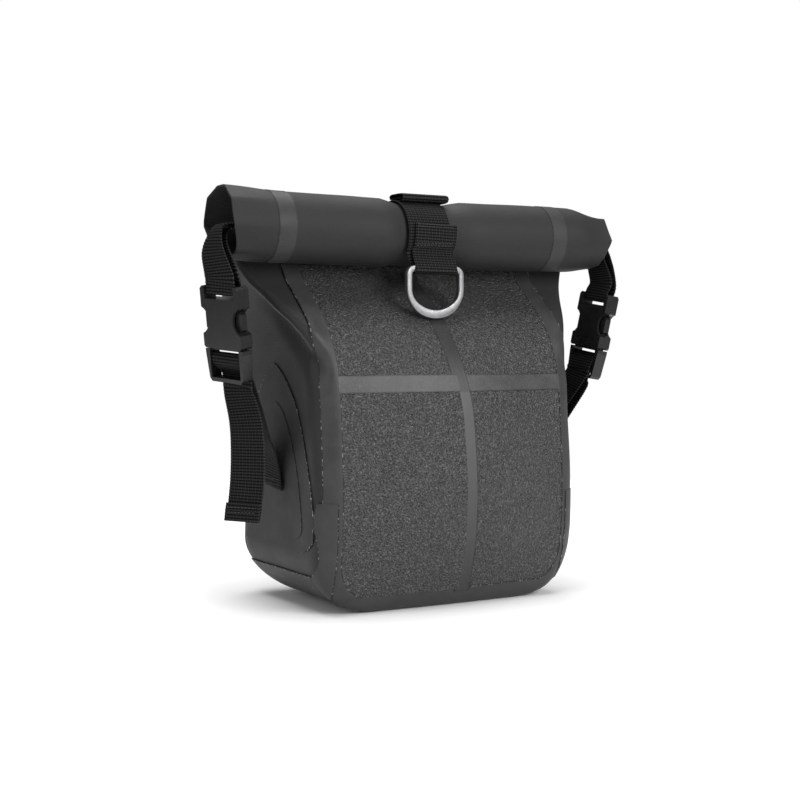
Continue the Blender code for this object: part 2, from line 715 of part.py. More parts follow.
def side_straps(side, place):
    """The webbing that holds a buckle: a loop from the roll's end above, and the adjustable strap below."""
    sign = -1 if side == "left" else 1
    across_buckle = place.to_3x3() @ Vector((1, 0, 0))

    def local(n, v):
        return place @ Vector((0, v * MM, n * MM))

    def turned(point, share):
        """Width direction that turns from the roll's (along Y) to the buckle's."""
        return point, Vector((0, sign, 0)).lerp(across_buckle, share)

    tail_end = Vector((sign * 157 * MM, -36 * MM, 70 * MM))
    core = ROLL_Z + 2 * MM
    loop = [
        turned(Vector((sign * 152 * MM, ROLL_Y, core + 2.2 * MM)), 0),
        turned(Vector((sign * 172 * MM, ROLL_Y, core + 2.2 * MM)), 0),
        turned(Vector((sign * 180.5 * MM, ROLL_Y - 1 * MM, core - 7 * MM)), 0.2),
        turned(Vector((sign * 181 * MM, ROLL_Y - 2 * MM, core - 22 * MM)), 0.6),
        turned(local(3.4, 6), 1), turned(local(3.3, 0), 1),
        turned(local(3.3, -4.4), 1), turned(local(2.5, -6.0), 1),
        turned(local(-2.5, -6.0), 1), turned(local(-3.3, -4.4), 1),
        turned(local(-3.3, 0.9), 1), turned(local(-1.6, 6), 1),
        turned(Vector((sign * 178.2 * MM, ROLL_Y - 2 * MM, core - 22 * MM)), 0.6),
        turned(Vector((sign * 177.6 * MM, ROLL_Y - 1 * MM, core - 9 * MM)), 0.2),
        turned(Vector((sign * 171 * MM, ROLL_Y, core - 0.6 * MM)), 0),
        turned(Vector((sign * 154 * MM, ROLL_Y, core - 0.6 * MM)), 0),
    ]
    ribbon(f"end_loop_{side}", loop, SIDE_WEB)

    anchor = Vector((sign * STRAP_ANCHOR.x, STRAP_ANCHOR.y, STRAP_ANCHOR.z))
    entry = local(-8.2, -70)
    lean = (entry - anchor).normalized()
    along_wall = Vector((0, lean.y, lean.z)).normalized()
    flat_across = along_wall.cross(Vector((sign, 0, 0)))
    leave = anchor + along_wall * 22 * MM + Vector((sign * 1.2 * MM, 0, 0))
    bend = anchor + along_wall * 34 * MM + Vector((sign * 4.5 * MM, 0, 0))
    rise = [(anchor, flat_across), (leave, flat_across), (bend, flat_across)]
    halfway = bend.lerp(entry, 0.5) + Vector((sign * 1.5 * MM, 0, 0))
    rise.append((halfway, flat_across.lerp(across_buckle, 0.5)))
    wrap = [(-8.2, -70), (-7.0, -64), (-4.9, -57), (-3.3, -53.4), (-2.3, -51.2), (0, -50.3)]
    wrap += [(2.3, -51.2), (3.1, -53.6), (2.6, -57.5), (-0.6, -61.5), (-4.4, -65.2)]
    wrap += [(-6.2, -69.5), (-6.1, -74), (-5.6, -80)]
    strap = rise + [(local(n, v), across_buckle) for n, v in wrap]
    end = local(-5.6, -80)
    if side == "left":
        for t in (0.3, 0.65, 1.0):
            strap.append((end.lerp(tail_end, t), across_buckle.lerp(Vector((0.35, -1, 0)), 0.5 * t)))
    else:
        inward = anchor + Vector((sign * 9 * MM, 2 * MM, 18 * MM))
        for t in (0.4, 0.75, 1.0):
            strap.append((end.lerp(inward, t), across_buckle))
    ribbon(f"lower_strap_{side}", strap, SIDE_WEB)


def buckles():
    for side in ("left", "right"):
        place = buckle_frame(side)
        female_buckle(side, place)
        male_buckle(side, place)
        for edge in ("front", "rear"):
            prong(side, edge, place)
        side_straps(side, place)


# ---- rails, hooks and their latches -------------------------------------------------------------------
def rail_outline(height, z0):
    """A C-shaped channel that opens to the rear."""
    points = [(0, 0), (8, 0), (8, 7), (5.5, 7), (5.5, 3), (2, 3)]
    low = [(y * MM, z * MM) for y, z in points]
    high = [(y, height - z) for y, z in reversed(low)]
    return [(BACK + y, z0 + z) for y, z in low + high]


def drill(obj, name, x, z, radius=2.3 * MM):
    hole = cylinder(name, (x, HALF_DEPTH, z), radius, 24 * MM, "Y", 12)
    return boolean(obj, as_cutter(hole))


def screw_places():
    for row, z in (("upper", RAIL_Z + RAIL_HEIGHT / 2), ("lower", LOW_RAIL_Z + LOW_RAIL_HEIGHT / 2)):
        for side, sign in (("left", -1), ("right", 1)):
            yield f"{row}_{side}", sign * SCREW_X[row], z


def back_hardware(back_panel):
    board_outline = rounded_box_outline(-88 * MM, 34 * MM, 88 * MM, 198 * MM, 12 * MM)
    board_face = HALF_DEPTH - WALL - GAP
    board = outline_solid(
        "back_board", board_outline, board_face - 2 * MM, board_face, "stiffener_board", "XZY"
    )
    profile = rail_outline(RAIL_HEIGHT, RAIL_Z)
    upper = outline_solid("upper_rail", profile, -RAIL_HALF, RAIL_HALF, "rail_alloy")
    profile = rail_outline(LOW_RAIL_HEIGHT, LOW_RAIL_Z)
    lower = outline_solid("lower_rail", profile, -LOW_RAIL_HALF, LOW_RAIL_HALF, "rail_alloy")
    for place, x, z in screw_places():
        rail = upper if place.startswith("upper") else lower
        for index, obj in enumerate((rail, board, back_panel)):
            drill(obj, f"drill_{place}_{index}", x, z)
        head_y = BACK + 2 * MM + GAP
        inside = board_face - 2 * MM - GAP
        tip = inside - 4.4 * MM
        top = head_y + 2.2 * MM
        shank, head = 1.95 * MM, 3.6 * MM
        profile = [(0, tip), (shank, tip), (shank, head_y), (head, head_y), (0.9 * head, top), (0, top)]
        turned_solid(f"rail_screw_{place}", profile, x, z, "screw_steel")
        nut = cylinder(f"rail_nut_{place}", (x, inside - 1.4 * MM, z), 6.5 * MM, 2.8 * MM, "Y", 12)
        as_part(nut, "black_plastic")
        bore = cylinder(f"bore_{place}", (x, inside, z), 2.3 * MM, 12 * MM, "Y", 12)
        boolean(nut, as_cutter(bore))


def turned_solid(name, profile, x, z, material, sides=12):
    """A round piece about an axis along Y, from a profile of (radius, place) points, front to back."""
    mesh = bpy.data.meshes.new(name)
    points = [(radius, 0, -y) for radius, y in profile]
    mesh.from_pydata(points, [(i, i + 1) for i in range(len(points) - 1)], [])
    place = Matrix.Translation((x, 0, z)) @ Matrix.Rotation(math.pi / 2, 4, "X")
    obj = link(name, mesh, material, place)
    screw = obj.modifiers.new("turn", "SCREW")
    screw.angle = 2 * math.pi
    screw.steps = sides
    screw.render_steps = sides
    screw.use_merge_vertices = True
    screw.merge_threshold = 0.00001
    return obj


def at_rail(points):
    """Points in millimetres from the upper rail's lower back corner, in metres in the bag's frame."""
    return [(BACK + y * MM, RAIL_Z + z * MM) for y, z in points]


def hook_outline():
    points = [(2.3, 3.3), (5.2, 3.3), (5.2, 7.4), (8.3, 7.4), (8.3, -6), (14, -6), (17.8, -1)]
    centre, inner, outer = (26, 44), 8.2, 12.5
    points += arc(centre, inner, 180, 0, 10)
    points += [(34.2, 38), (35.8, 35.5), (38.5, 37)]
    points += arc(centre, outer, 0, 180, 12)
    points += [(8.3, 38), (8.3, 20.6), (5.2, 20.6), (5.2, 24.7), (2.3, 24.7)]
    return at_rail(points)


def latch_outline():
    """Jaw under the tube, round the pivot, and the finger that the release strap lifts."""
    jaw = [(12.2, 29.2), (16, 29.6), (24, 31.0), (30.5, 33.2)]
    jaw += [(30.2, 34.9), (24, 34.0), (16.6, 36.4), (13, 37.2)]
    finger = [(9.6, 35.4), (3.2, 34.6), (2.4, 32.8), (3.4, 31.2), (9.8, 30.4)]
    return at_rail(jaw + finger)


def rack_hook(side):
    sign = -1 if side == "left" else 1
    x = sign * HOOK_X
    half = HOOK_WIDTH / 2
    hook = outline_solid(f"hook_{side}", hook_outline(), x - half, x + half, "black_plastic")
    slot = 6.6 * MM
    cuts = {"jaw_slot": ((10.8, 11), (19, 41)), "finger_slot": ((6.5, 28.8), (19, 41))}
    for name, (low, high) in cuts.items():
        (y0, z0), (y1, z1) = at_rail([low, high])
        boolean(hook, box_cutter(f"{name}_{side}", (x - slot, y0, z0), (x + slot, y1, z1)))
    (pivot,) = at_rail([(PIVOT_Y / MM, PIVOT_Z / MM)])
    centre = (x, pivot[0], pivot[1])
    boolean(hook, as_cutter(cylinder(f"pin_hole_{side}", centre, 1.85 * MM, 40 * MM, "X", 12)))
    latch = outline_solid(f"latch_{side}", latch_outline(), x - 6 * MM, x + 6 * MM, "black_plastic")
    boolean(latch, as_cutter(cylinder(f"latch_bore_{side}", centre, 1.9 * MM, 30 * MM, "X", 12)))
    origin_at(latch, centre)
    as_part(cylinder(f"latch_pin_{side}", centre, 1.5 * MM, 23 * MM, "X", 12), "screw_steel")
    inner, outer = 6.1, 7.9
    insert = arc((26, 44), outer, 180, 0, 10) + [(33.9, 38.4), (32.1, 38.4)]
    insert += arc((26, 44), inner, 0, 180, 10) + [(19.9, 42.6), (18.1, 42.6)]
    outline_solid(f"hook_insert_{side}", at_rail(insert), x - 10 * MM, x + 10 * MM, "stiffener_board")


def release_handle():
    """The pull strap that lifts both latch fingers, with a moulded grip in its middle."""
    y = BACK + 3.4 * MM
    reach = HOOK_X + 8 * MM
    low, high = RAIL_Z + 29.3 * MM, RAIL_Z + 44.5 * MM
    points = [(-reach, low), (-44 * MM, low), (-36 * MM, low), (-32.5 * MM, low), (-29 * MM, low + 2 * MM)]
    points += [(-23 * MM, high - 2.5 * MM), (-17 * MM, high + 0.3 * MM), (0, high + 0.5 * MM)]
    points += [(-x, z) for x, z in reversed(points[:-1])]
    middle = spread([Vector((x, y, z)) for x, z in points], 40)
    ribbon("release_strap", [(p, Vector((0, 1, 0))) for p in middle], 5 * MM)
    grip = rounded_box_outline(-30 * MM, high + 1.9 * MM, 30 * MM, high + 8.4 * MM, 3 * MM)
    outline_solid("release_grip", grip, y - 2.6 * MM, y + 6 * MM, "black_plastic", "XZY")


def lower_hook():
    """A block that slides on the lower rail and carries the hook that keeps the bag from swinging."""
    half = 13 * MM
    top = LOW_RAIL_HEIGHT / MM
    half_profile = [(2.3, 3.3), (5.2, 3.3), (5.2, 7.4), (8.3, 7.4), (8.3, 1), (13, 1)]
    profile = half_profile + [(y, top - z) for y, z in reversed(half_profile)]
    outline = [(BACK + y * MM, LOW_RAIL_Z + z * MM) for y, z in profile]
    slider = outline_solid("lower_slider", outline, -half, half, "black_plastic")
    z = LOW_RAIL_Z + LOW_RAIL_HEIGHT / 2
    hole = cylinder("slider_bore", (0, BACK + 12 * MM, z), 2.7 * MM, 10 * MM, "Y", 12)
    boolean(slider, as_cutter(hole))
    face = BACK + 13 * MM + GAP
    arm = arc((0, z), 10 * MM, 150, 390, 10)
    arm += [(6 * MM, z + 30 * MM), (9 * MM, z + 36 * MM), (2 * MM, z + 41 * MM), (-6 * MM, z + 36 * MM)]
    hook = outline_solid("lower_hook", arm, face, face + 4 * MM, "black_plastic", "XZY")
    lip = box_cutter(
        "hook_lip", (-5 * MM, face + 3 * MM, z + 30 * MM), (5 * MM, face + 17 * MM, z + 35 * MM)
    )
    boolean(hook, lip, "UNION")
    tip = box_cutter(
        "hook_tip", (-5 * MM, face + 13.5 * MM, z + 20 * MM), (5 * MM, face + 17.2 * MM, z + 34.8 * MM)
    )
    boolean(hook, tip, "UNION")
    bore = cylinder("hook_bore", (0, face, z), 2.7 * MM, 20 * MM, "Y", 12)
    boolean(hook, as_cutter(bore))
    origin_at(hook, (0, face, z))
    shank, knob = 2.4 * MM, 7 * MM
    under, foot, top = face + 4 * MM + GAP, BACK + 8.6 * MM, face + 9 * MM
    profile = [(0, foot), (shank, foot), (shank, under), (knob, under), (knob, top), (0, top)]
    turned_solid("lower_knob", profile, 0, z, "black_plastic", 14)


# ---- assembly -----------------------------------------------------------------------------------------
def main():
    wall_panel("front_panel", "front")
    back_panel = wall_panel("back_panel", "back")
    wall_panel("side_panel_left", "side", -1)
    wall_panel("side_panel_right", "side", 1)
    base_boot()
    front_skins()
    side_skins()
    roll_top()
    closure_strips()
    centre_strap()
    strap_keeper()
    d_ring()
    buckles()
    back_hardware(back_panel)
    for side in ("left", "right"):
        rack_hook(side)
    release_handle()
    lower_hook()


main()
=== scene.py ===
"""Looks for the roll-top pannier bag: soft shell, rolled collar, webbing, buckles, ring and rack fittings."""

import json
import math
from collections import Counter

import bpy
from mathutils import Matrix, Vector, noise


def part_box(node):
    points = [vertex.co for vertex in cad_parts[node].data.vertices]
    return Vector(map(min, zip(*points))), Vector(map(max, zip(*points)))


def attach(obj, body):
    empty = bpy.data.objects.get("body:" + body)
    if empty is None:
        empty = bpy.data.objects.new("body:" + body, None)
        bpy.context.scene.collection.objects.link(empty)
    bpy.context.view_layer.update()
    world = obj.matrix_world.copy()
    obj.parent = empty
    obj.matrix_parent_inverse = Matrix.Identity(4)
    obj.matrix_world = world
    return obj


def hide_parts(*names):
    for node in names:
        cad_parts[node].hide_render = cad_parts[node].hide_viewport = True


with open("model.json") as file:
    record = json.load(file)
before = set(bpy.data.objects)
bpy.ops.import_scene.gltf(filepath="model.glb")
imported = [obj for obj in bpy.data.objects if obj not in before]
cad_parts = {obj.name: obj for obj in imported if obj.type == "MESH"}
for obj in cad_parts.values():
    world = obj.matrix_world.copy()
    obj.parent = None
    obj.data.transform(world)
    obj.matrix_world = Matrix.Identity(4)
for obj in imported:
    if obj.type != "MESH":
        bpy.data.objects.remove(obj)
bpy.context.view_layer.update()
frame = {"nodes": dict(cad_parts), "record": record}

MM = 0.001
TURN = 2 * math.pi
RIB, CORD = 2.25 * MM, 1.6 * MM  # one rib of the webbing, and one of its cords across


# ---- small helpers ----
def smoothstep(low, high, value):
    t = min(1.0, max(0.0, (value - low) / (high - low)))
    return t * t * (3 - 2 * t)


def mix(a, b, t):
    return a + (b - a) * t


def smooth_table(rows, at):
    """A table's values at a place in its first column, on a curve that doesn't overshoot its rows."""
    if at <= rows[0][0]:
        return list(rows[0][1:])
    if at >= rows[-1][0]:
        return list(rows[-1][1:])
    i = max(k for k in range(len(rows) - 1) if rows[k][0] <= at)
    width = rows[i + 1][0] - rows[i][0]
    t = (at - rows[i][0]) / width
    values = []
    for column in range(1, len(rows[0])):
        slopes = []
        for k in (i, i + 1):
            near = [(rows[m + 1][column] - rows[m][column]) / (rows[m + 1][0] - rows[m][0])
                    for m in (k - 1, k) if 0 <= m < len(rows) - 1]
            before, after = near[0], near[-1]
            slopes.append(0.0 if before * after <= 0 else 2 * before * after / (before + after))
        values.append(
            rows[i][column] * (1 + 2 * t) * (1 - t) ** 2 + width * slopes[0] * t * (1 - t) ** 2
            + rows[i + 1][column] * t * t * (3 - 2 * t) + width * slopes[1] * t * t * (t - 1)
        )
    return values


def steps(start, end, count):
    return [mix(start, end, i / count) for i in range(count + 1)]


def eased(start, end, count):
    """Steps that are closest together at the start."""
    return [mix(start, end, 1 - math.cos(t * math.pi / 2)) for t in steps(0, 1, count)]


def smooth_path(points, count):
    """Evenly spaced points on a Catmull-Rom curve through the given ones, each with its place along it."""
    fine, place = [], []
    for i in range(len(points) - 1):
        p0, p1 = points[max(0, i - 1)], points[i]
        p2, p3 = points[i + 1], points[min(len(points) - 1, i + 2)]
        for step in range(16):
            t = step / 16
            fine.append(
                0.5 * (2 * p1 + (p2 - p0) * t + (2 * p0 - 5 * p1 + 4 * p2 - p3) * t**2
                       + (3 * p1 - p0 - 3 * p2 + p3) * t**3)
            )
            place.append(i + t)
    fine.append(points[-1])
    place.append(len(points) - 1)
    lengths = [0.0]
    for a, b in zip(fine, fine[1:]):
        lengths.append(lengths[-1] + (b - a).length)
    found, k = [], 0
    for i in range(count + 1):
        goal = lengths[-1] * i / count
        while k < len(fine) - 2 and lengths[k + 1] < goal:
            k += 1
        t = (goal - lengths[k]) / max(1e-9, lengths[k + 1] - lengths[k])
        found.append((fine[k].lerp(fine[k + 1], t), mix(place[k], place[k + 1], t), goal))
    return found


# ---- materials ----
class Finish:
    """A Principled material with helpers for adding nodes."""

    def __init__(self, name, colour, roughness, specular=0.35, metallic=0.0):
        self.material = bpy.data.materials.new(name)
        self.material.use_nodes = True
        self.tree = self.material.node_tree
        self.shader = self.tree.nodes["Principled BSDF"]
        values = {"Base Color": (*colour, 1), "Roughness": roughness, "Specular IOR Level": specular}
        for key, value in {**values, "Metallic": metallic}.items():
            self.shader.inputs[key].default_value = value
        self.height = None

    def add(self, kind, *values, **settings):
        node = self.tree.nodes.new(kind)
        for key, value in settings.items():
            setattr(node, key, value)
        for key, value in enumerate(values):
            if isinstance(value, bpy.types.NodeSocket):
                self.tree.links.new(value, node.inputs[key])
            elif value is not None:
                node.inputs[key].default_value = value
        return node

    def math(self, operation, a, b=0.0, c=0.0):
        return self.add("ShaderNodeMath", a, b, c, operation=operation).outputs[0]

    def place(self, source="Object"):
        return self.add("ShaderNodeTexCoord").outputs[source]

    def strip(self):
        """Places along and across a strip, from its UV."""
        return self.add("ShaderNodeSeparateXYZ", self.add("ShaderNodeUVMap").outputs[0]).outputs[:2]

    def texture(self, kind, at=None, settings=(), **inputs):
        node = self.add(kind, **dict(settings))
        self.tree.links.new(at or self.place(), node.inputs["Vector"])
        for key, value in inputs.items():
            node.inputs[key].default_value = value
        return node

    def noise(self, scale, detail=3.0, rough=0.5, at=None):
        node = self.texture("ShaderNodeTexNoise", at, Scale=scale, Detail=detail, Roughness=rough)
        return node.outputs["Fac"]

    def ramp(self, value, low, high, to_low=0.0, to_high=1.0):
        return self.add("ShaderNodeMapRange", value, low, high, to_low, to_high).outputs[0]

    def blend(self, factor, a, b):
        node = self.add("ShaderNodeMix", data_type="RGBA")
        for key, value in (("Factor", factor), ("A", a), ("B", b)):
            sockets = [s for s in node.inputs if s.name == key and s.enabled]
            if isinstance(value, bpy.types.NodeSocket):
                self.tree.links.new(value, sockets[0])
            elif key == "Factor":
                sockets[0].default_value = value
            else:
                sockets[0].default_value = (*value, 1)
        return [s for s in node.outputs if s.enabled][0]

    def colour_from(self, socket):
        self.tree.links.new(socket, self.shader.inputs["Base Color"])

    def rough_from(self, socket):
        self.tree.links.new(socket, self.shader.inputs["Roughness"])

    def bump(self, height, distance, strength=1.0):
        node = self.add("ShaderNodeBump")
        node.inputs["Strength"].default_value = strength
        node.inputs["Distance"].default_value = distance
        self.tree.links.new(height, node.inputs["Height"])
        if self.height is not None:
            self.tree.links.new(self.height, node.inputs["Normal"])
        self.height = node.outputs["Normal"]
        self.tree.links.new(self.height, self.shader.inputs["Normal"])


def tinted(colour, factor):
    return tuple(c * factor for c in colour)


def coated_fabric(name, colour, roughness=0.5, weave=0.00006, dust=0.5):
    """Polymer-coated cloth: a fine woven grain under a matt film, faint clouding and dusty rub marks."""
    look = Finish(name, colour, roughness, 0.24)
    cloud = look.noise(9, 5, 0.6)
    fine = look.noise(1400, 2, 0.6)
    tone = look.blend(look.ramp(cloud, 0.3, 0.7), tinted(colour, 0.90), tinted(colour, 1.12))
    tone = look.blend(look.ramp(fine, 0.35, 0.75, 0, 0.35), tone, tinted(colour, 1.7))
    scuff = look.math("MULTIPLY", look.ramp(look.noise(45, 8, 0.75), 0.62, 0.80), dust)
    tone = look.blend(scuff, tone, tinted(colour, 1.9))
    look.colour_from(tone)
    look.rough_from(look.ramp(cloud, 0.3, 0.7, roughness - 0.05, roughness + 0.07))
    look.bump(look.noise(16, 3, 0.5), 0.0009, 0.6)
    for axis in ("X", "Z"):
        wave = look.texture("ShaderNodeTexWave", None, {"bands_direction": axis}, Scale=290, Distortion=0.6)
        look.bump(wave.outputs["Fac"], weave, 0.5)
    look.bump(fine, weave * 1.4, 0.8)
    return look.material


def pebbled_fabric(name, colour):
    """Embossed coated cloth with a worm-like grain, coloured with painted shade in its pits, painted
    highlights on its tops and painted glints.
    """
    look = Finish(name, colour, 0.47)
    at = look.place()
    bent = look.noise(420, 2, 0.5, at)
    drift = look.texture("ShaderNodeTexNoise", at, Scale=260).outputs["Color"]
    wobble = look.add("ShaderNodeVectorMath", drift, operation="SCALE")
    wobble.inputs["Scale"].default_value = 0.0022
    warp = look.add("ShaderNodeVectorMath", at, wobble.outputs[0], operation="ADD")
    cells = look.texture("ShaderNodeTexVoronoi", warp.outputs[0], {"feature": "SMOOTH_F1"}, Scale=760)
    grain = look.math("MULTIPLY", cells.outputs["Distance"], 1.25)
    grain = look.math("ADD", grain, look.math("MULTIPLY", bent, 0.5))
    cloud = look.noise(7, 4, 0.6, at)
    # Painted shade and painted highlight: the grain's pits are coloured darker and its tops lighter.
    tone = look.blend(look.ramp(grain, 0.40, 0.95), tinted(colour, 0.30), tinted(colour, 1.70))
    tone = look.blend(look.ramp(cloud, 0.35, 0.65, 0.0, 0.22), tone, tinted(colour, 0.75))
    # Painted glints: random specks of the colour are made bright, standing in for specular highlights.
    painted_glints = look.ramp(look.noise(760, 1, 0.5, at), 0.57, 0.67, 0.0, 0.85)
    look.colour_from(look.blend(painted_glints, tone, tinted(colour, 3.9)))
    look.rough_from(look.ramp(grain, 0.3, 1.0, 0.62, 0.38))
    look.bump(grain, 0.0010, 1.0)
    look.bump(look.noise(18, 2, 0.5, at), 0.0010, 0.5)
    return look.material


SCUFF = (0.26, 0.26, 0.26)


def weld_tape(name, colour, roughness, mottle, worn, seam=0.5, rim=(0.43, 0.46), light_by_height=None):
    """Smooth heat-welded tape. Its UV runs along and across it. mottle, worn and seam are the strengths of
    its speckle, of the pale scuffs on its edges and of their dark line. rim is where across it the edge
    begins and is full, and the last argument, (height, height, colour above it), is painted light and shade."""
    look = Finish(name, colour, roughness, 0.25)
    at = look.place()
    across = look.math("ABSOLUTE", look.math("SUBTRACT", look.strip()[1], 0.5))
    cloud = look.noise(60, 6, 0.65, at)
    speck = look.noise(900, 3, 0.7, at)
    tone = look.blend(look.ramp(cloud, 0.35, 0.7), tinted(colour, 0.86), tinted(colour, 1.16))
    # Painted light and shade: above one height the colour turns towards another, as light and shade fall on
    # the tape.
    if light_by_height:
        height = look.add("ShaderNodeSeparateXYZ", at).outputs[2]
        tone = look.blend(look.ramp(height, light_by_height[0], light_by_height[1]), tone, light_by_height[2])
    tone = look.blend(look.ramp(speck, 0.5, 0.8, 0, mottle), tone, tinted(colour, 1.8))
    edge = look.ramp(across, *rim)
    dashes = look.ramp(look.noise(430, 3, 0.65, at), 0.55, 0.61)
    tone = look.blend(look.math("MULTIPLY", edge, seam), tone, tinted(colour, 0.18))
    scuffed = look.math("MULTIPLY", edge, look.math("MULTIPLY", dashes, worn))
    tone = look.blend(scuffed, tone, SCUFF)
    look.colour_from(tone)
    look.rough_from(look.ramp(cloud, 0.3, 0.7, roughness - 0.07, roughness + 0.10))
    look.bump(cloud, 0.0004, 0.5)
    look.bump(speck, 0.0001, 0.6)
    return look.material


def woven_webbing(name, colour):
    """Heavy nylon webbing. UV is in metres along and across the strap, in step with the ribs of its mesh."""
    look = Finish(name, colour, 0.75, 0.08)
    along, across = look.strip()

    def wave(value, pitch):
        half_turns = look.math("MULTIPLY", look.math("DIVIDE", value, pitch), math.pi)
        return look.math("ABSOLUTE", look.math("SINE", half_turns))

    ribs = look.math("POWER", wave(along, RIB), 1.3)
    cords = look.math("POWER", wave(across, CORD), 0.9)
    column = look.math("FLOOR", look.math("DIVIDE", across, CORD))
    odd = look.math("MODULO", look.math("ABSOLUTE", column), 2.0)
    cloth = look.math("MULTIPLY", ribs, look.math("ADD", look.math("MULTIPLY", cords, 0.85), 0.15))
    cloth = look.math("MULTIPLY", cloth, look.math("ADD", look.math("MULTIPLY", odd, 0.25), 0.75))
    fuzz = look.noise(1500, 3, 0.7)
    cloth = look.math("ADD", cloth, look.math("MULTIPLY", look.math("SUBTRACT", fuzz, 0.5), 0.35))
    # Painted shade and painted highlight: the rib and cord pattern colours the grooves darker and the ridges
    # lighter.
    tone = look.blend(look.ramp(cloth, 0.1, 1.0), tinted(colour, 0.08), tinted(colour, 5.5))
    tone = look.blend(look.ramp(look.noise(2000, 1, 0.5), 0.66, 0.76, 0, 0.6), tone, tinted(colour, 7.0))
    look.colour_from(tone)
    look.bump(cloth, 0.0004, 0.9)
    return look.material


def moulded_plastic(name, colour, roughness=0.25, grain=0.03 * MM):
    """Injection-moulded nylon with a faint spark-eroded grain."""
    look = Finish(name, colour, roughness)
    cloud = look.noise(120, 6, 0.7)
    look.colour_from(look.blend(look.ramp(cloud, 0.4, 0.8), tinted(colour, 0.95), tinted(colour, 1.12)))
    look.rough_from(look.ramp(cloud, 0.3, 0.75, roughness - 0.02, roughness + 0.04))
    look.bump(look.noise(2600, 2, 0.5), grain, 0.5)
    return look.material


def plated_metal(name, colour, roughness=0.3, brushed=(40, 40, 900)):
    """Plated or anodised metal with fine drawn lines and light tarnish."""
    look = Finish(name, colour, roughness, 0.5, 0.92)
    stretch = look.add("ShaderNodeMapping", look.place())
    stretch.inputs["Scale"].default_value = brushed
    lines = look.noise(1.0, 4, 0.6, stretch.outputs[0])
    cloud = look.noise(70, 5, 0.6)
    look.colour_from(look.blend(look.ramp(cloud, 0.35, 0.75), tinted(colour, 0.82), tinted(colour, 1.10)))
    look.rough_from(look.ramp(lines, 0.3, 0.7, roughness - 0.08, roughness + 0.12))
    look.bump(lines, 0.00005, 0.5)
    return look.material


FABRIC = coated_fabric("fabric_matt", (0.0215, 0.022, 0.022))
ROLL_FABRIC = coated_fabric("fabric_roll", (0.0158, 0.0162, 0.0162), 0.58, 0.00008, 0.25)
PEBBLED = pebbled_fabric("fabric_pebbled", (0.0235, 0.0235, 0.024))
# The centre tape is drawn as two copies in different tones whose colours change with height: painted light
# brightens the lower copy from 20 to 100 mm up, and painted shade darkens the upper copy towards the roll.
CROSS_TONE, UNDER_ROLL_SHADE = (0.052, 0.0505, 0.051), (0.024, 0.024, 0.0243)
TAPE_CROSS = weld_tape("tape_cross", CROSS_TONE, 0.38, 1.0, 0.1, 0.7)
LOW_PAINTED_LIGHT, HIGH_PAINTED_SHADE = (20 * MM, 100 * MM, tinted(CROSS_TONE, 1.3)), (168 * MM, 196 * MM, UNDER_ROLL_SHADE)
TAPE_LOW = weld_tape("tape_below_cross", (0.030, 0.030, 0.0303), 0.40, 0.9, 0.1, 0.8, light_by_height=LOW_PAINTED_LIGHT)
TAPE_HIGH = weld_tape("tape_above_cross", (0.050, 0.049, 0.0495), 0.46, 0.5, 0.1, 0.8, light_by_height=HIGH_PAINTED_SHADE)
TAPE = weld_tape("tape_edge", (0.036, 0.036, 0.0365), 0.46, 0.3, 0.6, 0.8, (0.440, 0.470))
TAPE_ROLL = weld_tape("tape_roll", (0.029, 0.029, 0.0295), 0.52, 0.5, 0.05, 0.4)
PATCH = weld_tape("patch_outer", (0.0215, 0.022, 0.022), 0.50, 0.1, 1.0, 0.3, (0.483, 0.489))
PATCH_INNER = weld_tape("patch_inner", (0.0215, 0.022, 0.022), 0.50, 0.1, 0.2, 0.3, (0.485, 0.491))
WEBBING = woven_webbing("webbing_black", (0.0070, 0.0072, 0.0072))
THREAD = moulded_plastic("thread_black", (0.040, 0.040, 0.040), 0.5)
PLASTIC = moulded_plastic("plastic_black", (0.0105, 0.011, 0.0115))
BOARD = moulded_plastic("board_black", (0.030, 0.030, 0.032), 0.5, 0.1 * MM)
RING_METAL = plated_metal("ring_nickel", (0.25, 0.25, 0.255), 0.38, (500, 500, 500))
ALLOY = plated_metal("rail_anodised", (0.11, 0.11, 0.115), 0.36, (12, 900, 900))
STEEL = plated_metal("screw_steel_look", (0.45, 0.45, 0.46), 0.28)


# ---- meshes ----
def new_piece(name, verts, faces, material, body, cad=(), slot=None, uvs=None):
    """A piece that rides on a body and may stand for CAD nodes. uvs has one pair for each vertex."""
    mesh = bpy.data.meshes.new(name)
    mesh.from_pydata([tuple(v) for v in verts], [], faces)
    mesh.materials.append(material)
    if uvs:
        layer = mesh.uv_layers.new(name="UVMap")
        for loop in mesh.loops:
            layer.data[loop.index].uv = uvs[loop.vertex_index]
    mesh.update()
    mesh.shade_smooth()
    obj = bpy.data.objects.new(name, mesh)
    bpy.context.scene.collection.objects.link(obj)
    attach(obj, body)
    if cad:
        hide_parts(*cad)
    return obj


def lattice(rows, columns, closed=False, flip=False):
    """Faces between rows of points. closed joins each row's end to its start; flip turns them over."""
    faces = []
    for i in range(rows - 1):
        for j in range(columns if closed else columns - 1):
            k = (j + 1) % columns
            a, b, c, d = i * columns + j, i * columns + k, (i + 1) * columns + k, (i + 1) * columns + j
            faces.append((a, d, c, b) if flip else (a, b, c, d))
    return faces


def grid_piece(name, rows, material, thickness, offset=-1.0, uvs=None, **more):
    """A sheet with thickness, through rows of points."""
    columns = len(rows[0])
    verts = [p for row in rows for p in row]
    faces = lattice(len(rows), columns)
    if uvs is None:
        places = [(i, j) for i in range(len(rows)) for j in range(columns)]
        uvs = [(i / (len(rows) - 1), j / (columns - 1)) for i, j in places]
    obj = new_piece(name, verts, faces, material, "bag", uvs=uvs, **more)
    used = Counter(key for face in obj.data.polygons for key in face.edge_keys)
    for edge in obj.data.edges:
        edge.use_edge_sharp = used[edge.key] == 1
    thicken(obj, thickness, offset)


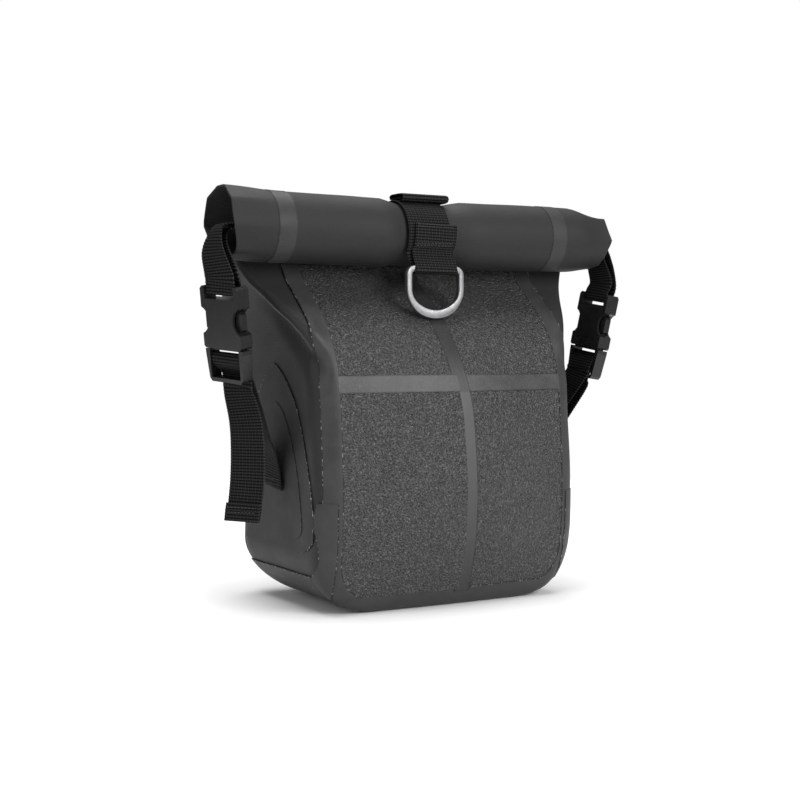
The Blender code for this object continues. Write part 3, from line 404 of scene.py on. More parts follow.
def thicken(obj, thickness, offset=-1.0):
    solid = obj.modifiers.new("thickness", "SOLIDIFY")
    solid.thickness = thickness
    solid.offset = offset
    solid.use_rim = True


def finish_cad(node, material, width):
    """Give a CAD node that stays in view its own look, and round its edges where a width is given."""
    obj = frame["nodes"][node]
    for place in obj.material_slots:
        place.material = material
    if width:
        bevel = obj.modifiers.new("edges", "BEVEL")
        bevel.width = width
        bevel.segments = 2
        bevel.limit_method = "ANGLE"
        bevel.angle_limit = math.radians(35)
        bevel.harden_normals = False


# ---- the bag's soft shell ----
# Height, half width, front at its corners, its bulge, back, corner radius, lean and side fold, in mm.
BODY_TABLE = [
    (0, 115.5, -71, 1, 74, 22, 1.5, 0),
    (28, 116, -74, 7.5, 74.5, 20, 3.0, 0),
    (60, 116, -76, 12.5, 75, 19, 4.5, 0.5),
    (100, 116, -75.5, 16, 75.5, 19, 5.0, 1.5),
    (145, 116, -73, 14, 75.5, 19, 5.0, 2.0),
    (180, 117, -69.5, 8, 75, 18, 4.0, 2.5),
    (200, 119.5, -63.5, 4.5, 74.5, 15, 3.0, 4),
    (218, 125, -52.5, 2.5, 72, 11, 2.0, 8),
    (238, 136, -33.5, 1, 58, 8, 0.5, 14),
    (251, 145, -20, 0, 34, 6, -0.5, 15),
    (262, 150, -14, 0, -5, 3.8, -1.0, 16),
    (268, 151, -13, 0, -8, 2.4, -1.0, 16),
]
# How far the underside's rounding reaches in, and how high it starts, in mm.
SIDE_ROUND = (30.0, 42.0)
FRONT_ROUND = (7.0, 12.0)
BACK_ROUND = (36.0, 44.0)
SHELL_THICK = 1.2 * MM


def rounded_in(z, reach_and_height):
    reach, height = reach_and_height
    return reach * (1 - math.sqrt(max(0.0, 1 - max(0.0, 1 - z / height) ** 2)))


def body_at(z):
    half, front, bulge, back, corner, lean, fold = smooth_table(BODY_TABLE, z / MM)
    low = z / MM
    half -= rounded_in(low, SIDE_ROUND)
    front += rounded_in(low, FRONT_ROUND)
    back -= rounded_in(low, BACK_ROUND)
    return [v * MM for v in (half, front, bulge, back, corner, lean, fold)]


def section_lengths(z):
    half, front, _, back, corner, _, _ = body_at(z)
    return half - corner, corner * math.pi / 2, back - front - 2 * corner


def wall_base(z, s):
    """Where the shell is, s metres round from the middle of the front, before its wrinkles."""
    half, front, bulge, back, corner, lean, fold = body_at(z)
    side = -1 if s < 0 else 1
    flat, bend, depth = section_lengths(z)
    a = abs(s)
    if a <= flat:
        t = a / flat
        x, y = a, front - bulge * (1 - t * t) ** 1.3
    elif a <= flat + bend:
        angle = (a - flat) / corner
        x, y = flat + corner * math.sin(angle), front + corner - corner * math.cos(angle)
    elif a <= flat + bend + depth:
        t = (a - flat - bend) / depth
        dip = 1 - abs(2 * t - 1) ** 1.6
        x, y = half - fold * dip, front + corner + depth * t
    elif a <= flat + 2 * bend + depth:
        angle = (a - flat - bend - depth) / corner
        x, y = flat + corner * math.cos(angle), back - corner + corner * math.sin(angle)
    else:
        x, y = flat - (a - flat - 2 * bend - depth), back
    return Vector((side * x + lean, y, z))


RIDGE_FROM, RIDGE_ALONG = (-55 * MM, 212 * MM), (0.785, 0.62)


def shoulder_fold(p):
    """The crease under each shoulder: the gusset breaks over a ridge that climbs towards the back."""
    side = smoothstep(0.098, 0.112, abs(p.x))
    below = (p.y - RIDGE_FROM[0]) * RIDGE_ALONG[1] - (p.z - RIDGE_FROM[1]) * RIDGE_ALONG[0]
    light_by_height = (1 - smoothstep(-0.005, 0.05, p.y)) * smoothstep(0.15, 0.185, p.z)
    ridge = 2.2 * math.exp(-((below / (5 * MM)) ** 2))
    groove = -6.5 * math.exp(-(((below - 15 * MM) / (8.5 * MM)) ** 2))
    return (ridge + groove) * side * light_by_height * (1.0 if p.x < 0 else 0.3)


def wrinkle(p):
    """How far the cloth stands out of its smooth shape: slow waves, and sharper folds high on the sides."""
    slow = noise.noise(Vector((p.x * 14 + 3.1, p.y * 14, p.z * 11))) * 1.4
    quick = noise.noise(Vector((p.x * 34, p.y * 34 + 7.7, p.z * 24))) * 0.6
    side = smoothstep(0.095, 0.118, abs(p.x))
    high = smoothstep(0.17, 0.225, p.z)
    folds = noise.noise(Vector((p.x * 20, p.y * 40 + p.z * 34, p.z * 20 - 4.0))) * 1.4
    calm = smoothstep(0.0, 0.03, p.z) * (1 - smoothstep(0.225, 0.258, p.z)) * (0.6 if p.x > 0.1 else 1.0)
    waves = slow * (0.5 + 0.5 * side) + quick * (0.25 + 0.5 * side) + folds * side * high
    return (waves + shoulder_fold(p)) * calm * MM


def settle(p):
    """The underside lifts a little towards the sides and back, clear of what the bag stands on."""
    out = max(smoothstep(0.045, 0.106, abs(p.x)), smoothstep(0.020, 0.072, p.y))
    lift = 9 * MM * out * smoothstep(-0.069, -0.056, p.y) * (1 - smoothstep(0.0, 0.06, p.z))
    return Vector((p.x, p.y, p.z + lift))


def wall(z, s, lift=0.0):
    e = 0.6 * MM
    p = wall_base(z, s)
    along = wall_base(z, s + e) - wall_base(z, s - e)
    up = wall_base(z + e, s) - wall_base(max(0.0, z - e), s)
    normal = along.cross(up).normalized()
    p = settle(p + normal * (lift + wrinkle(p)))
    p.z = max(0.0, p.z)
    return p


def ring_stops(z, front_steps=30, corner_steps=6, side_steps=18, back_steps=20):
    """Places all the way round the shell, the same count at each height, from the middle of the back."""
    flat, bend, depth = section_lengths(z)
    right = steps(0, flat, front_steps // 2)[:-1] + steps(flat, flat + bend, corner_steps)[:-1]
    right += steps(flat + bend, flat + bend + depth, side_steps)[:-1]
    right += steps(flat + bend + depth, flat + 2 * bend + depth, corner_steps)[:-1]
    right += steps(flat + 2 * bend + depth, 2 * flat + 2 * bend + depth, back_steps // 2)[:-1]
    whole = 2 * flat + 2 * bend + depth
    left = [-s for s in reversed(right[1:])]
    return right + [whole] + left


def body_heights():
    return eased(0, 42 * MM, 16) + steps(48 * MM, 190 * MM, 26) + steps(194 * MM, 267 * MM, 24)


def make_shell():
    rows = [[wall(z, s) for s in ring_stops(z)] for z in body_heights()]
    columns = len(rows[0])
    verts = [p for row in rows for p in row]
    faces = lattice(len(rows), columns, closed=True)
    verts.append(Vector((3 * MM, 0, 0)))
    for j in range(columns):
        faces.append((len(verts) - 1, (j + 1) % columns, j))
    panels = ("front_panel", "back_panel", "side_panel_left", "side_panel_right", "base_boot")
    shell = new_piece("bag_shell", verts, faces, FABRIC, "bag", cad=panels, slot="coated_fabric")
    thicken(shell, SHELL_THICK)


# ---- patches and tapes on the shell ----
def laid(name, heights, stops_at, material, lift, thickness=0.6 * MM, along="z", slot="weld_tape", **more):
    """A patch laid on the shell. stops_at gives the places round the bag at each height."""
    rows = [[wall(z, s, lift) for s in stops_at(z)] for z in heights]
    columns = len(rows[0])
    uvs = []
    for i in range(len(rows)):
        for j in range(columns):
            pair = (i / (len(rows) - 1), j / (columns - 1))
            uvs.append(pair if along == "z" else (pair[1], pair[0]))
    grid_piece(name, rows, material, thickness, uvs=uvs, slot=slot, **more)


TEXTURE_HALF = 99.5 * MM
TEXTURE_LOW, TEXTURE_HIGH = 13 * MM, 262 * MM
CORNER_HIGH, CORNER_WIDE = 28 * MM, 22 * MM
CROSS_Z, CROSS_HALF = 171.5 * MM, 6.5 * MM
CENTRE_HALF = 6.6 * MM
CENTRE_PATH = ((0, 6.2), (18, 5.6), (75, 2.8), (109, 1.4), (154, 0.9), (188, -1.0), (212, -3.0), (262, -4.5))
EDGE_WIDTH = 15 * MM
BORDER_HIGH = 14.5 * MM


def texture_edge(z):
    """Half the textured front's width, with its rounded lower corners."""
    low = (z - TEXTURE_LOW) / CORNER_HIGH
    if low < 1:
        return TEXTURE_HALF - CORNER_WIDE * (1 - math.sqrt(max(0.0, 1 - (1 - low) ** 2)))
    return TEXTURE_HALF


def centre_of_front(z):
    """The centre tape isn't quite straight."""
    return smooth_table(CENTRE_PATH, z / MM)[0] * MM


def make_front():
    low_rows = eased(TEXTURE_LOW, TEXTURE_LOW + CORNER_HIGH, 10)
    lower = low_rows[:-1] + steps(TEXTURE_LOW + CORNER_HIGH, CROSS_Z - 2 * MM, 30)
    upper = steps(CROSS_Z + 2 * MM, TEXTURE_HIGH, 26)
    for side, sign in (("left", -1), ("right", 1)):
        for part, heights in (("lower", lower), ("upper", upper)):
            def stops(z, sign=sign):
                start = centre_of_front(z) + sign * 3 * MM
                return steps(start, sign * texture_edge(z), 26)
            cad = (f"front_patch_{part}",) if side == "left" else ()
            laid(f"front_{part}_{side}", heights, stops, PEBBLED, 0.45 * MM, cad=cad, slot="textured_fabric")
        def across(z, sign=sign):
            return steps(centre_of_front(z) + sign * 2 * MM, sign * (TEXTURE_HALF + 0.5 * MM), 26)
        heights = steps(CROSS_Z - CROSS_HALF, CROSS_Z + CROSS_HALF, 8)
        laid(f"cross_tape_{side}_soft", heights, across, TAPE_CROSS, 0.75 * MM, along="s",
             cad=(f"cross_tape_{side}",))
        def border(z, sign=sign):
            start = texture_edge(z) - 0.5 * MM
            return steps(sign * start, sign * (TEXTURE_HALF + EDGE_WIDTH), 12)
        heights = low_rows[:-1] + steps(TEXTURE_LOW + CORNER_HIGH, TEXTURE_HIGH, 60)
        laid(f"edge_tape_{side}_soft", heights, border, TAPE, 0.7 * MM, cad=(f"edge_tape_{side}",))
    def narrow(z):
        middle = centre_of_front(z)
        return steps(middle - CENTRE_HALF, middle + CENTRE_HALF, 10)
    heights = steps(TEXTURE_LOW - 2 * MM, CROSS_Z, 50)
    laid("centre_tape_low", heights, narrow, TAPE_LOW, 0.95 * MM, cad=("centre_tape",))
    laid("centre_tape_high", steps(CROSS_Z - CROSS_HALF, 256 * MM, 30), narrow, TAPE_HIGH, 1.15 * MM)
    def under(z):
        return steps(-(TEXTURE_HALF + EDGE_WIDTH), TEXTURE_HALF + EDGE_WIDTH, 60)
    laid("border_below_front", eased(0, BORDER_HIGH, 8), under, TAPE, 0.6 * MM, along="s")


# Height and half width of the side's two arched patches, in mm.
OUTER_ARCH = ((44, 50), (48, 60), (56, 66), (69, 66.6), (86, 63.6), (109, 57), (134, 47.6), (155, 35.5))
OUTER_ARCH += ((174, 19), (183, 8), (187, 0.4))
INNER_ARCH = ((54, 38), (57, 45), (63, 47.4), (85, 43.5), (107, 36.8), (125, 28.5), (143, 17.4), (152, 9))
INNER_ARCH += ((157, 0.4),)
ARCH_DEPTH = 6 * MM  # where their middle is, front to back
BASE_STRIP_HIGH, BOOT_LOW, BOOT_HIGH = 21.5 * MM, 3 * MM, 84 * MM


def side_middle(z):
    """The place round the shell that is level with the middle of the side's arched patches."""
    half, front, _, _, corner, _, _ = body_at(z)
    return half - corner + corner * math.pi / 2 + (ARCH_DEPTH - front - corner)


def make_sides():
    """The arched patches, the band round the base, the corner boots and the back seams."""
    for side, sign in (("left", -1), ("right", 1)):
        layers = (OUTER_ARCH, 0.45, PATCH), (INNER_ARCH, 0.85, PATCH_INNER)
        for layer, (arch, lift, look) in enumerate(layers):
            def stops(z, sign=sign, arch=arch):
                middle, (reach,) = side_middle(z), smooth_table(arch, z / MM)
                return steps(sign * (middle - reach * MM), sign * (middle + reach * MM), 24)
            low, top = arch[0][0], arch[-1][0]
            heights = [mix(low, top, 0.5 - 0.5 * math.cos(t * math.pi)) * MM for t in steps(0, 1, 44)]
            cad = (f"side_patch_{side}",) if layer == 0 else ()
            laid(f"side_patch_{side}_{layer}", heights, stops, look, lift * MM, 0.4 * MM, cad=cad,
                 slot="coated_fabric")
        def base_strip(z, sign=sign):
            flat, bend, depth = section_lengths(z)
            return steps(sign * (flat + 0.6 * bend), sign * (flat + 1.7 * bend + depth), 44)
        laid(f"base_strip_{side}", eased(0, BASE_STRIP_HIGH, 12), base_strip, TAPE, 0.55 * MM, along="s")
        def corner_boot(z, sign=sign):
            start = TEXTURE_HALF + 3 * MM
            reach = 17 * MM + 3 * MM * math.sin(z / MM / 9)
            return steps(sign * start, sign * (start + reach), 12)
        laid(f"corner_boot_{side}", eased(BOOT_LOW, BOOT_HIGH, 28), corner_boot, TAPE, 1.25 * MM)
        def back_strip(z, sign=sign):
            flat, bend, depth = section_lengths(z)
            end = flat + 2 * bend + depth
            return steps(sign * (end - 18 * MM), sign * (end + 4 * MM), 12)
        laid(f"back_strip_{side}", steps(12 * MM, 222 * MM, 60), back_strip, TAPE, 0.6 * MM)


# ---- the rolled collar ----
ROLL_CENTRE = Vector((0, -29.5 * MM, 286.8 * MM))
ROLL_R = 28.6 * MM
ROLL_END = 170 * MM
ROLL_SHEET = 1.5 * MM
ROLL_STEP = 5.2 * MM  # how much each turn winds inwards
# The flattened ends of the roll: each corner's angle from the bottom, in degrees, and its radius, in mm.
LEFT_END = ((0, 27), (40, 27), (68, 26), (96, 38), (127, 38.5), (160, 32.5), (186, 31), (225, 28.5))
LEFT_END += ((270, 28.5),)
LEFT_END += ((320, 28), (360, 27))
RIGHT_END = ((0, 25.5), (45, 27), (90, 30), (130, 29), (180, 22), (215, 25), (270, 25), (305, 24), (330, 26))
RIGHT_END += ((360, 25.5),)
TAPE_PLACES, TAPE_HALF, TAPE_ARC = (("left", -128.5 * MM), ("right", 116.5 * MM)), 7.2 * MM, (150, 352)


def unit(degrees):
    return Vector((math.cos(math.radians(degrees)), math.sin(math.radians(degrees))))


def roll_out(degrees):
    """The way out of the roll at an angle from the bottom, rising at the back and over to the front."""
    return Vector((0, math.sin(math.radians(degrees)), -math.cos(math.radians(degrees))))


def polygon_radius(corners, angle):
    """The radius of a polygon given by its corners' angles and radii, in degrees and millimetres."""
    angle %= 360
    for (a0, r0), (a1, r1) in zip(corners, corners[1:]):
        if a0 <= angle <= a1:
            p0, ray = unit(a0) * r0, unit(angle)
            edge = unit(a1) * r1 - p0
            cross = ray.x * edge.y - ray.y * edge.x
            return (p0.x * edge.y - p0.y * edge.x) / cross * MM
    return corners[0][1] * MM


def pinch_at(x):
    """How far the centre strap draws the roll in."""
    left = 1 - smoothstep(0.0225, 0.0330, -(x + 0.0055))
    right = 1 - smoothstep(0.0215, 0.0420, x + 0.0055)
    return 4.6 * MM * min(left, right)


def roll_at(x, angle, inset=0.0):
    """A point on the roll, at an angle that roll_out takes."""
    radius = ROLL_R
    left, right = smoothstep(0.128, 0.170, -x), smoothstep(0.138, 0.170, x)
    if left > 0:
        radius = mix(radius, polygon_radius(LEFT_END, angle), left)
    if right > 0:
        radius = mix(radius, polygon_radius(RIGHT_END, angle), right)
    radius -= pinch_at(x) * (0.55 + 0.45 * math.cos(math.radians(angle - 265)))
    direction = roll_out(angle)
    p = ROLL_CENTRE + Vector((x, 0, 0)) + direction * (radius - inset)
    swell = noise.noise(Vector((p.x * 11, p.y * 15 + 2, p.z * 15))) * 1.1 + noise.noise(p * 42) * 0.30
    sag = -0.8 * MM * math.cos(math.pi * min(1, abs(x) / 0.17))
    return p + direction * swell * MM + Vector((0, 0, sag))


def roll_end(sign, angle, turn):
    """Where the sheet stops at an end. The front hangs out a little; the inner turns are set well back."""
    front = max(0.0, -math.sin(math.radians(angle)))
    low = max(0.0, math.cos(math.radians(angle)))
    inner = 24 * MM * smoothstep(0.85, 1.35, turn)
    if sign < 0:
        return -(ROLL_END + 2 * MM * front - 9 * MM * low * front - 1 * MM) + inner
    return ROLL_END + 3 * MM * front - 5 * MM * low - inner


def make_roll():
    start, turns = 40, 2.35
    angles = steps(start, start + 360 * turns, int(66 * turns))
    shares = steps(0, 0.16, 14)[:-1] + steps(0.16, 0.44, 14)[:-1] + steps(0.44, 0.56, 30)[:-1]
    shares += steps(0.56, 0.84, 14)[:-1] + steps(0.84, 1, 14)
    rows = []
    for share in shares:
        row = []
        for angle in angles:
            turn = (angle - start) / 360
            x = mix(roll_end(-1, angle, turn), roll_end(1, angle, turn), share)
            row.append(roll_at(x, angle, turn * ROLL_STEP))
        rows.append(row)
    grid_piece("roll_soft", rows, ROLL_FABRIC, ROLL_SHEET, 1.0, cad=("roll_top",), slot="coated_fabric")
    for side, middle in TAPE_PLACES:
        rows = []
        for x in steps(middle - TAPE_HALF, middle + TAPE_HALF, 6):
            insets = [(a, (a - start) / 360 * ROLL_STEP - ROLL_SHEET + 0.05 * MM)
                      for a in steps(*TAPE_ARC, 60)]
            rows.append([roll_at(x, a, inset) for a, inset in insets])
        uvs = [(j / 60, i / 6) for i in range(7) for j in range(61)]
        grid_piece(f"roll_tape_{side}_soft", rows, TAPE_ROLL, 0.35 * MM, 1.0, uvs, cad=(f"roll_tape_{side}",),
                   slot="weld_tape")


# ---- webbing ----
# Half of a strap's cross-section, in shares of its width and thickness. The other half is this turned round.
PROFILE = [(-0.5, 0.1), (-0.497, 0.3), (-0.485, 0.45), (-0.465, 0.5), (-0.3, 0.5), (-0.15, 0.5), (0, 0.5)]
PROFILE += [(0.15, 0.5), (0.3, 0.5), (0.465, 0.5), (0.485, 0.45), (0.497, 0.3), (0.5, 0.1)]
PROFILE += [(-u, -v) for u, v in PROFILE]
RIB_HIGH = 0.38 * MM


def webbing(name, stations, width, thickness=1.5 * MM, body="bag", cad=()):
    """A ribbed strap along stations of (middle, way its width runs, share of its width). UV is in metres."""
    middles = [Vector(station[0]) for station in stations]
    count = max(8, int(smooth_path(middles, 40)[-1][2] / (RIB / 4)))
    path = smooth_path(middles, count)
    rows, uvs = [], []
    for i, (middle, place, _) in enumerate(path):
        k = min(len(stations) - 2, int(place))
        across = stations[k][1].lerp(stations[k + 1][1], place - k)
        share = mix(stations[k][2], stations[k + 1][2], place - k)
        along = (path[min(i + 2, count)][0] - path[max(i - 2, 0)][0]).normalized()
        across = (across - along * across.dot(along) * 0.3).normalized()
        normal = across.cross(along).normalized()
        dip = 1 - abs(math.sin(math.pi * i / 4))
        thick = thickness - RIB_HIGH * dip * 2
        wide = width * share * (1 - 0.012 * dip)
        rows.append([middle + across * u * wide + normal * v * thick for u, v in PROFILE])
        uvs += [(i * RIB / 4, u * width) for u, v in PROFILE]
    columns = len(PROFILE)
    verts = [p for row in rows for p in row]
    faces = lattice(count + 1, columns, closed=True, flip=True)
    faces.append(tuple(range(columns)))
    faces.append(tuple(count * columns + j for j in reversed(range(columns))))
    new_piece(name, verts, faces, WEBBING, body, cad=cad, slot="webbing", uvs=uvs)


# One stitch's rings: how far along it each is, and its size and rise in shares of the thread's radius.
STITCH = ((-0.5, 0.35, -0.6), (-0.3, 0.95, 0.25), (0, 1, 0.55), (0.3, 0.95, 0.25), (0.5, 0.35, -0.6))
STITCH_LENGTH, STITCH_GAP, THREAD_RADIUS = 2.2 * MM, 1.0 * MM, 0.27 * MM


def stitching(name, seams):
    """Rows of thread. Each seam is a list of (point, outward direction) pairs."""
    length, radius = STITCH_LENGTH, THREAD_RADIUS
    verts, faces = [], []
    for seam in seams:
        reach = 0.0
        for (a, out_a), (b, out_b) in zip(seam, seam[1:]):
            run = (b - a).length
            while reach + length <= run + 1e-9:
                middle = a.lerp(b, (reach + length / 2) / run)
                out = out_a.lerp(out_b, reach / run).normalized()
                along = (b - a).normalized()
                across = out.cross(along).normalized()
                first = len(verts)
                for t, size, rise in STITCH:
                    centre = middle + along * t * length + out * rise * radius
                    for k in range(6):
                        turn = TURN * k / 6
                        wide, high = math.cos(turn) * radius * size, math.sin(turn) * radius * size
                        verts.append(centre + across * wide + out * high)
                faces += [tuple(first + k for k in face) for face in lattice(len(STITCH), 6, closed=True)]
                faces.append(tuple(first + k for k in reversed(range(6))))
                faces.append(tuple(first + 24 + k for k in range(6)))
                reach += length + STITCH_GAP
            reach -= run
    new_piece(name, verts, faces, THREAD, "bag", slot="webbing")


STRAP_BACK_X, STRAP_FOLD_X, KEEPER_X = -7.0 * MM, -1.5 * MM, -3.2 * MM
# The folded keeper from its side: depth and height in mm.
KEEPER_FOLDS = ((-22, 312.6), (-38, 312.9), (-41.6, 314.2), (-42, 316.2), (-39, 318.0), (-25, 318.2))
KEEPER_FOLDS += ((-21.6, 317.4), (-21.4, 315.8), (-24, 314.9), (-36, 315.2))
JOINTS = {joint["name"]: joint for joint in frame["record"]["behaviour"]["joints"]}
RING_PIVOT = Vector(JOINTS["d_ring_swing"]["pos_m"])
X_AXIS, Y_AXIS = Vector((1, 0, 0)), Vector((0, 1, 0))


def make_centre_strap():
    """Up the back's slope, over the roll, round the ring's bar and back up on its own front."""
    def at(p, x, share=1.0):
        return Vector((x, p.y, p.z)), X_AXIS, share
    stations = []
    for y, z in ((54, 245.5), (44, 251.5), (24, 272)):
        stations.append(at(Vector((0, y * MM, z * MM)), STRAP_BACK_X))
    for a in range(112, 305, 12):
        stations.append(at(roll_at(STRAP_BACK_X, a, -1.2 * MM), STRAP_BACK_X))
    for a in (30, -10, -50, -90, -130, -170):
        turn = math.radians(a)
        stations.append(at(RING_PIVOT + Vector((0, math.cos(turn), math.sin(turn))) * 3.7 * MM, RING_PIVOT.x))
    for i, a in enumerate(range(300, 240, -12)):
        x = mix(RING_PIVOT.x, STRAP_FOLD_X, (i + 1) / 5)
        stations.append(at(roll_at(STRAP_BACK_X, a, -3.3 * MM), x))
    webbing("centre_strap_soft", stations, 37.5 * MM, cad=("centre_strap",))
    seams = []
    for angle in (254, 257.5, 284, 288):
        x = mix(RING_PIVOT.x, STRAP_FOLD_X, (300 - angle) / 50)
        middle = roll_at(STRAP_BACK_X, angle, -4.1 * MM)
        ends = [Vector((x + side * 16.5 * MM, middle.y, middle.z)) for side in (-1, 1)]
        seams.append([(end, roll_out(angle)) for end in ends])
    stitching("centre_strap_stitches", seams)
    stations = [(Vector((KEEPER_X, y * MM, z * MM)), X_AXIS, 1.0) for y, z in KEEPER_FOLDS]
    webbing("strap_keeper_soft", stations, 42 * MM, 1.35 * MM, cad=("strap_keeper",))


# ---- the ring ----
RING_HALF, RING_STRAIGHT, RING_DROP, RING_THICK = 23.4 * MM, 15.5 * MM, 35.0 * MM, 4.8 * MM
RING_BEND, RING_ROUND = 4.5 * MM, 0.75 * MM
RING_FACE, RING_EXTRA = 2.25 * MM, 1.05 * MM  # half the face's width, and how much more of it at the bottom


def make_ring():
    """A flat-faced D: straight sides, a deeper bow, and a bar through the strap."""
    path = []

    def corner(sign, angles):
        for out in [unit(a) for a in angles]:
            x = sign * (RING_HALF - RING_BEND) + RING_BEND * out.x
            path.append((x, RING_BEND * (out.y - 1), out.x, out.y, RING_FACE))

    corner(1, steps(90, 0, 6))
    for a in steps(0, -180, 36):
        turn = math.radians(a)
        x, z = RING_HALF * math.cos(turn), (RING_DROP - RING_STRAIGHT) * math.sin(turn)
        out = Vector((math.cos(turn) / RING_HALF, math.sin(turn) / (RING_DROP - RING_STRAIGHT))).normalized()
        face = RING_FACE + RING_EXTRA * smoothstep(0.35, 0.95, -math.sin(turn))
        path.append((x, z - RING_STRAIGHT, out.x, out.y, face))
    corner(-1, steps(180, 90, 6))
    section = []
    for quarter, (cx, cy) in enumerate(((1, 1), (-1, 1), (-1, -1), (1, -1))):
        for k in range(4):
            turn = math.radians(k * 30 + quarter * 90)
            section.append((cx, cy, math.cos(turn), math.sin(turn)))
    verts, faces = [], []
    for x, z, nx, nz, half in path:
        for cx, cy, ex, ey in section:
            radial = cx * (half - RING_ROUND) + ex * RING_ROUND
            deep = cy * (RING_THICK / 2 - RING_ROUND) + ey * RING_ROUND
            verts.append(RING_PIVOT + Vector((x + nx * radial, deep, z + nz * radial)))
    for face in lattice(len(path) + 1, len(section), closed=True):
        faces.append(tuple(k % len(verts) for k in face))
    ring = new_piece("d_ring_cast", verts, faces, RING_METAL, "ring", cad=("d_ring",), slot="ring_metal")
    ring.data.set_sharp_from_angle(angle=math.radians(40))


# ---- side straps ----
BUCKLE_TOP, BUCKLE_UP = Vector((172 * MM, -37 * MM, 244 * MM)), Vector((0.14, -0.13, 0.98))
BUCKLE_TWIST = {"left": 19.0, "right": 2.0}
SIDE_WEB = 31 * MM


def buckle_frame(side):
    """The buckle's own axes: across it, up along the strap, and out of its face."""
    sign = -1 if side == "left" else 1
    mirror = Vector((sign, 1, 1))
    up = (BUCKLE_UP * mirror).normalized()
    twist = math.radians(BUCKLE_TWIST[side])
    out = Vector((sign * math.cos(twist), -math.sin(twist), 0))
    out = (out - up * out.dot(up)).normalized()
    across = up.cross(out)
    place = Matrix((across, up, out)).transposed().to_4x4()
    place.translation = BUCKLE_TOP * mirror
    return place


LOOP_OUT = ((152, -30, 289, 0, 0.8), (166, -30.5, 289.5, 0, 0.7), (173, -31.5, 287.5, 0.2, 0.5))
LOOP_OUT += ((177, -32.5, 280, 0.5, 0.62), (178.5, -33.5, 268, 0.8, 0.86))
LOOP_BAR = ((3.5, 8, 1), (3.3, 0, 1), (3.3, -4.4, 1), (2.5, -6.1, 1), (-2.5, -6.1, 1), (-3.3, -4.4, 1))
LOOP_BAR += ((-3.3, 1.5, 1), (-1.4, 10, 0.98))
LOOP_BACK = ((173.2, -31.5, 268, 0.8, 0.86), (172, -30.5, 279, 0.5, 0.62), (168, -30, 284.5, 0.2, 0.5))
LOOP_BACK += ((163, -30, 286.3, 0, 0.7), (152, -30, 286.3, 0, 0.8))


def in_buckle(side, n, v):
    """A place given by its height out of the buckle's face and its height up the buckle, in mm."""
    return buckle_frame(side) @ Vector((0, v * MM, n * MM))


def buckle_across(side):
    return buckle_frame(side).to_3x3() @ X_AXIS


def make_end_loop(side):
    """Out of the roll, round the buckle's upper bar and back into the roll, pinched where it goes in.

    The tables hold a place, its share of the turn from the roll's axis to the buckle's, and of the width.
    """
    sign = -1 if side == "left" else 1
    across, into_roll = buckle_across(side), Vector((0, sign, 0))

    def free(table):
        return [(Vector((sign * x, y, z)) * MM, into_roll.lerp(across, turned), share)
                for x, y, z, turned, share in table]

    bar = [(in_buckle(side, n, v), across, share) for n, v, share in LOOP_BAR]
    loop = free(LOOP_OUT) + bar + free(LOOP_BACK)
    webbing(f"end_loop_{side}_soft", loop, SIDE_WEB, cad=(f"end_loop_{side}",))


# The lower strap's way round the male half's bars, as heights out of the buckle's face and up it, in mm.
LOWER_WRAP = ((-8, -70), (-7, -64), (-4.9, -57), (-3.3, -53.4), (-2.3, -51.1), (0, -50.2), (2.3, -51.1))
LOWER_WRAP += ((3.2, -53.6), (2.8, -57.5), (-0.4, -61.5), (-4.2, -65.2), (-6, -69.5), (-5.9, -74))
LOWER_WRAP += ((-5.6, -80),)
TAIL = ((-153.2, -33.5, 142, 0.7), (-153.0, -36, 110, 1), (-155.2, -36, 84, 1), (-157, -36, 71.5, 1))
TAIL_FACING = Vector((0.5, -0.86, 0.02))
TAIL_HEM = ((-157.2, -36, 70.6), (-156.6, -36, 77), (-155.6, -36, 84))


def make_lower_strap(side):
    """Up from its anchor on the side wall, round the male half, and down: as a loose tail on the left."""
    sign = -1 if side == "left" else 1
    across = buckle_across(side)
    anchor = wall_near(sign, 6 * MM, 90 * MM, 2.6 * MM)
    lift = wall_near(sign, 6 * MM, 114 * MM, 7.0 * MM)
    flat_across = Vector((0, sign * 0.98, sign * 0.15))
    entry = in_buckle(side, *LOWER_WRAP[0])
    strap = [(anchor, flat_across, 1), (lift, flat_across, 1)]
    for t in (0.3, 0.62):
        point = lift.lerp(entry, t) + Vector((sign * MM * (1 - t), 0, 0))
        strap.append((point, flat_across.lerp(across, smoothstep(0, 1, t)), 1))
    strap += [(in_buckle(side, n, v), across, 1) for n, v in LOWER_WRAP]
    if side == "left":
        strap += [(Vector((x, y, z)) * MM, across.lerp(TAIL_FACING, turned), 1) for x, y, z, turned in TAIL]
    else:
        leaves, inward = in_buckle(side, *LOWER_WRAP[-1]), wall_near(sign, 0, 104 * MM, 7.5 * MM)
        strap += [(leaves.lerp(inward, t), across.lerp(flat_across, t), 1) for t in (0.4, 0.75, 1.0)]
    webbing(f"lower_strap_{side}_soft", strap, SIDE_WEB, cad=(f"lower_strap_{side}",))
    seams = []
    for z in (93, 97):
        ends = [wall_near(sign, y * MM, z * MM, (3.7 + (z - 90) * 0.18) * MM) for y in (-7, 19)]
        seams.append([(end, X_AXIS * sign) for end in ends])
    stitching(f"strap_stitches_{side}", seams + (make_tail_hem() if side == "left" else []))


def make_tail_hem():
    """The tail's end, folded back on its face. The seams through both sides of it are returned."""
    face = TAIL_FACING.cross(Vector((0, 0, 1))).normalized()
    fold = [((Vector(p) + face * 1.5) * MM, TAIL_FACING, 1) for p in TAIL_HEM]
    webbing("tail_hem", fold, SIDE_WEB * 1.015)
    seams = []
    for z in (77.5, 81):
        for flip, stand in ((-1, -0.9), (1, 2.4)):
            middle = (Vector((-156.7, -36, z)) + face * stand) * MM
            seams.append([(middle + TAIL_FACING * u * MM, face * flip) for u in (-13, 13)])
    return seams


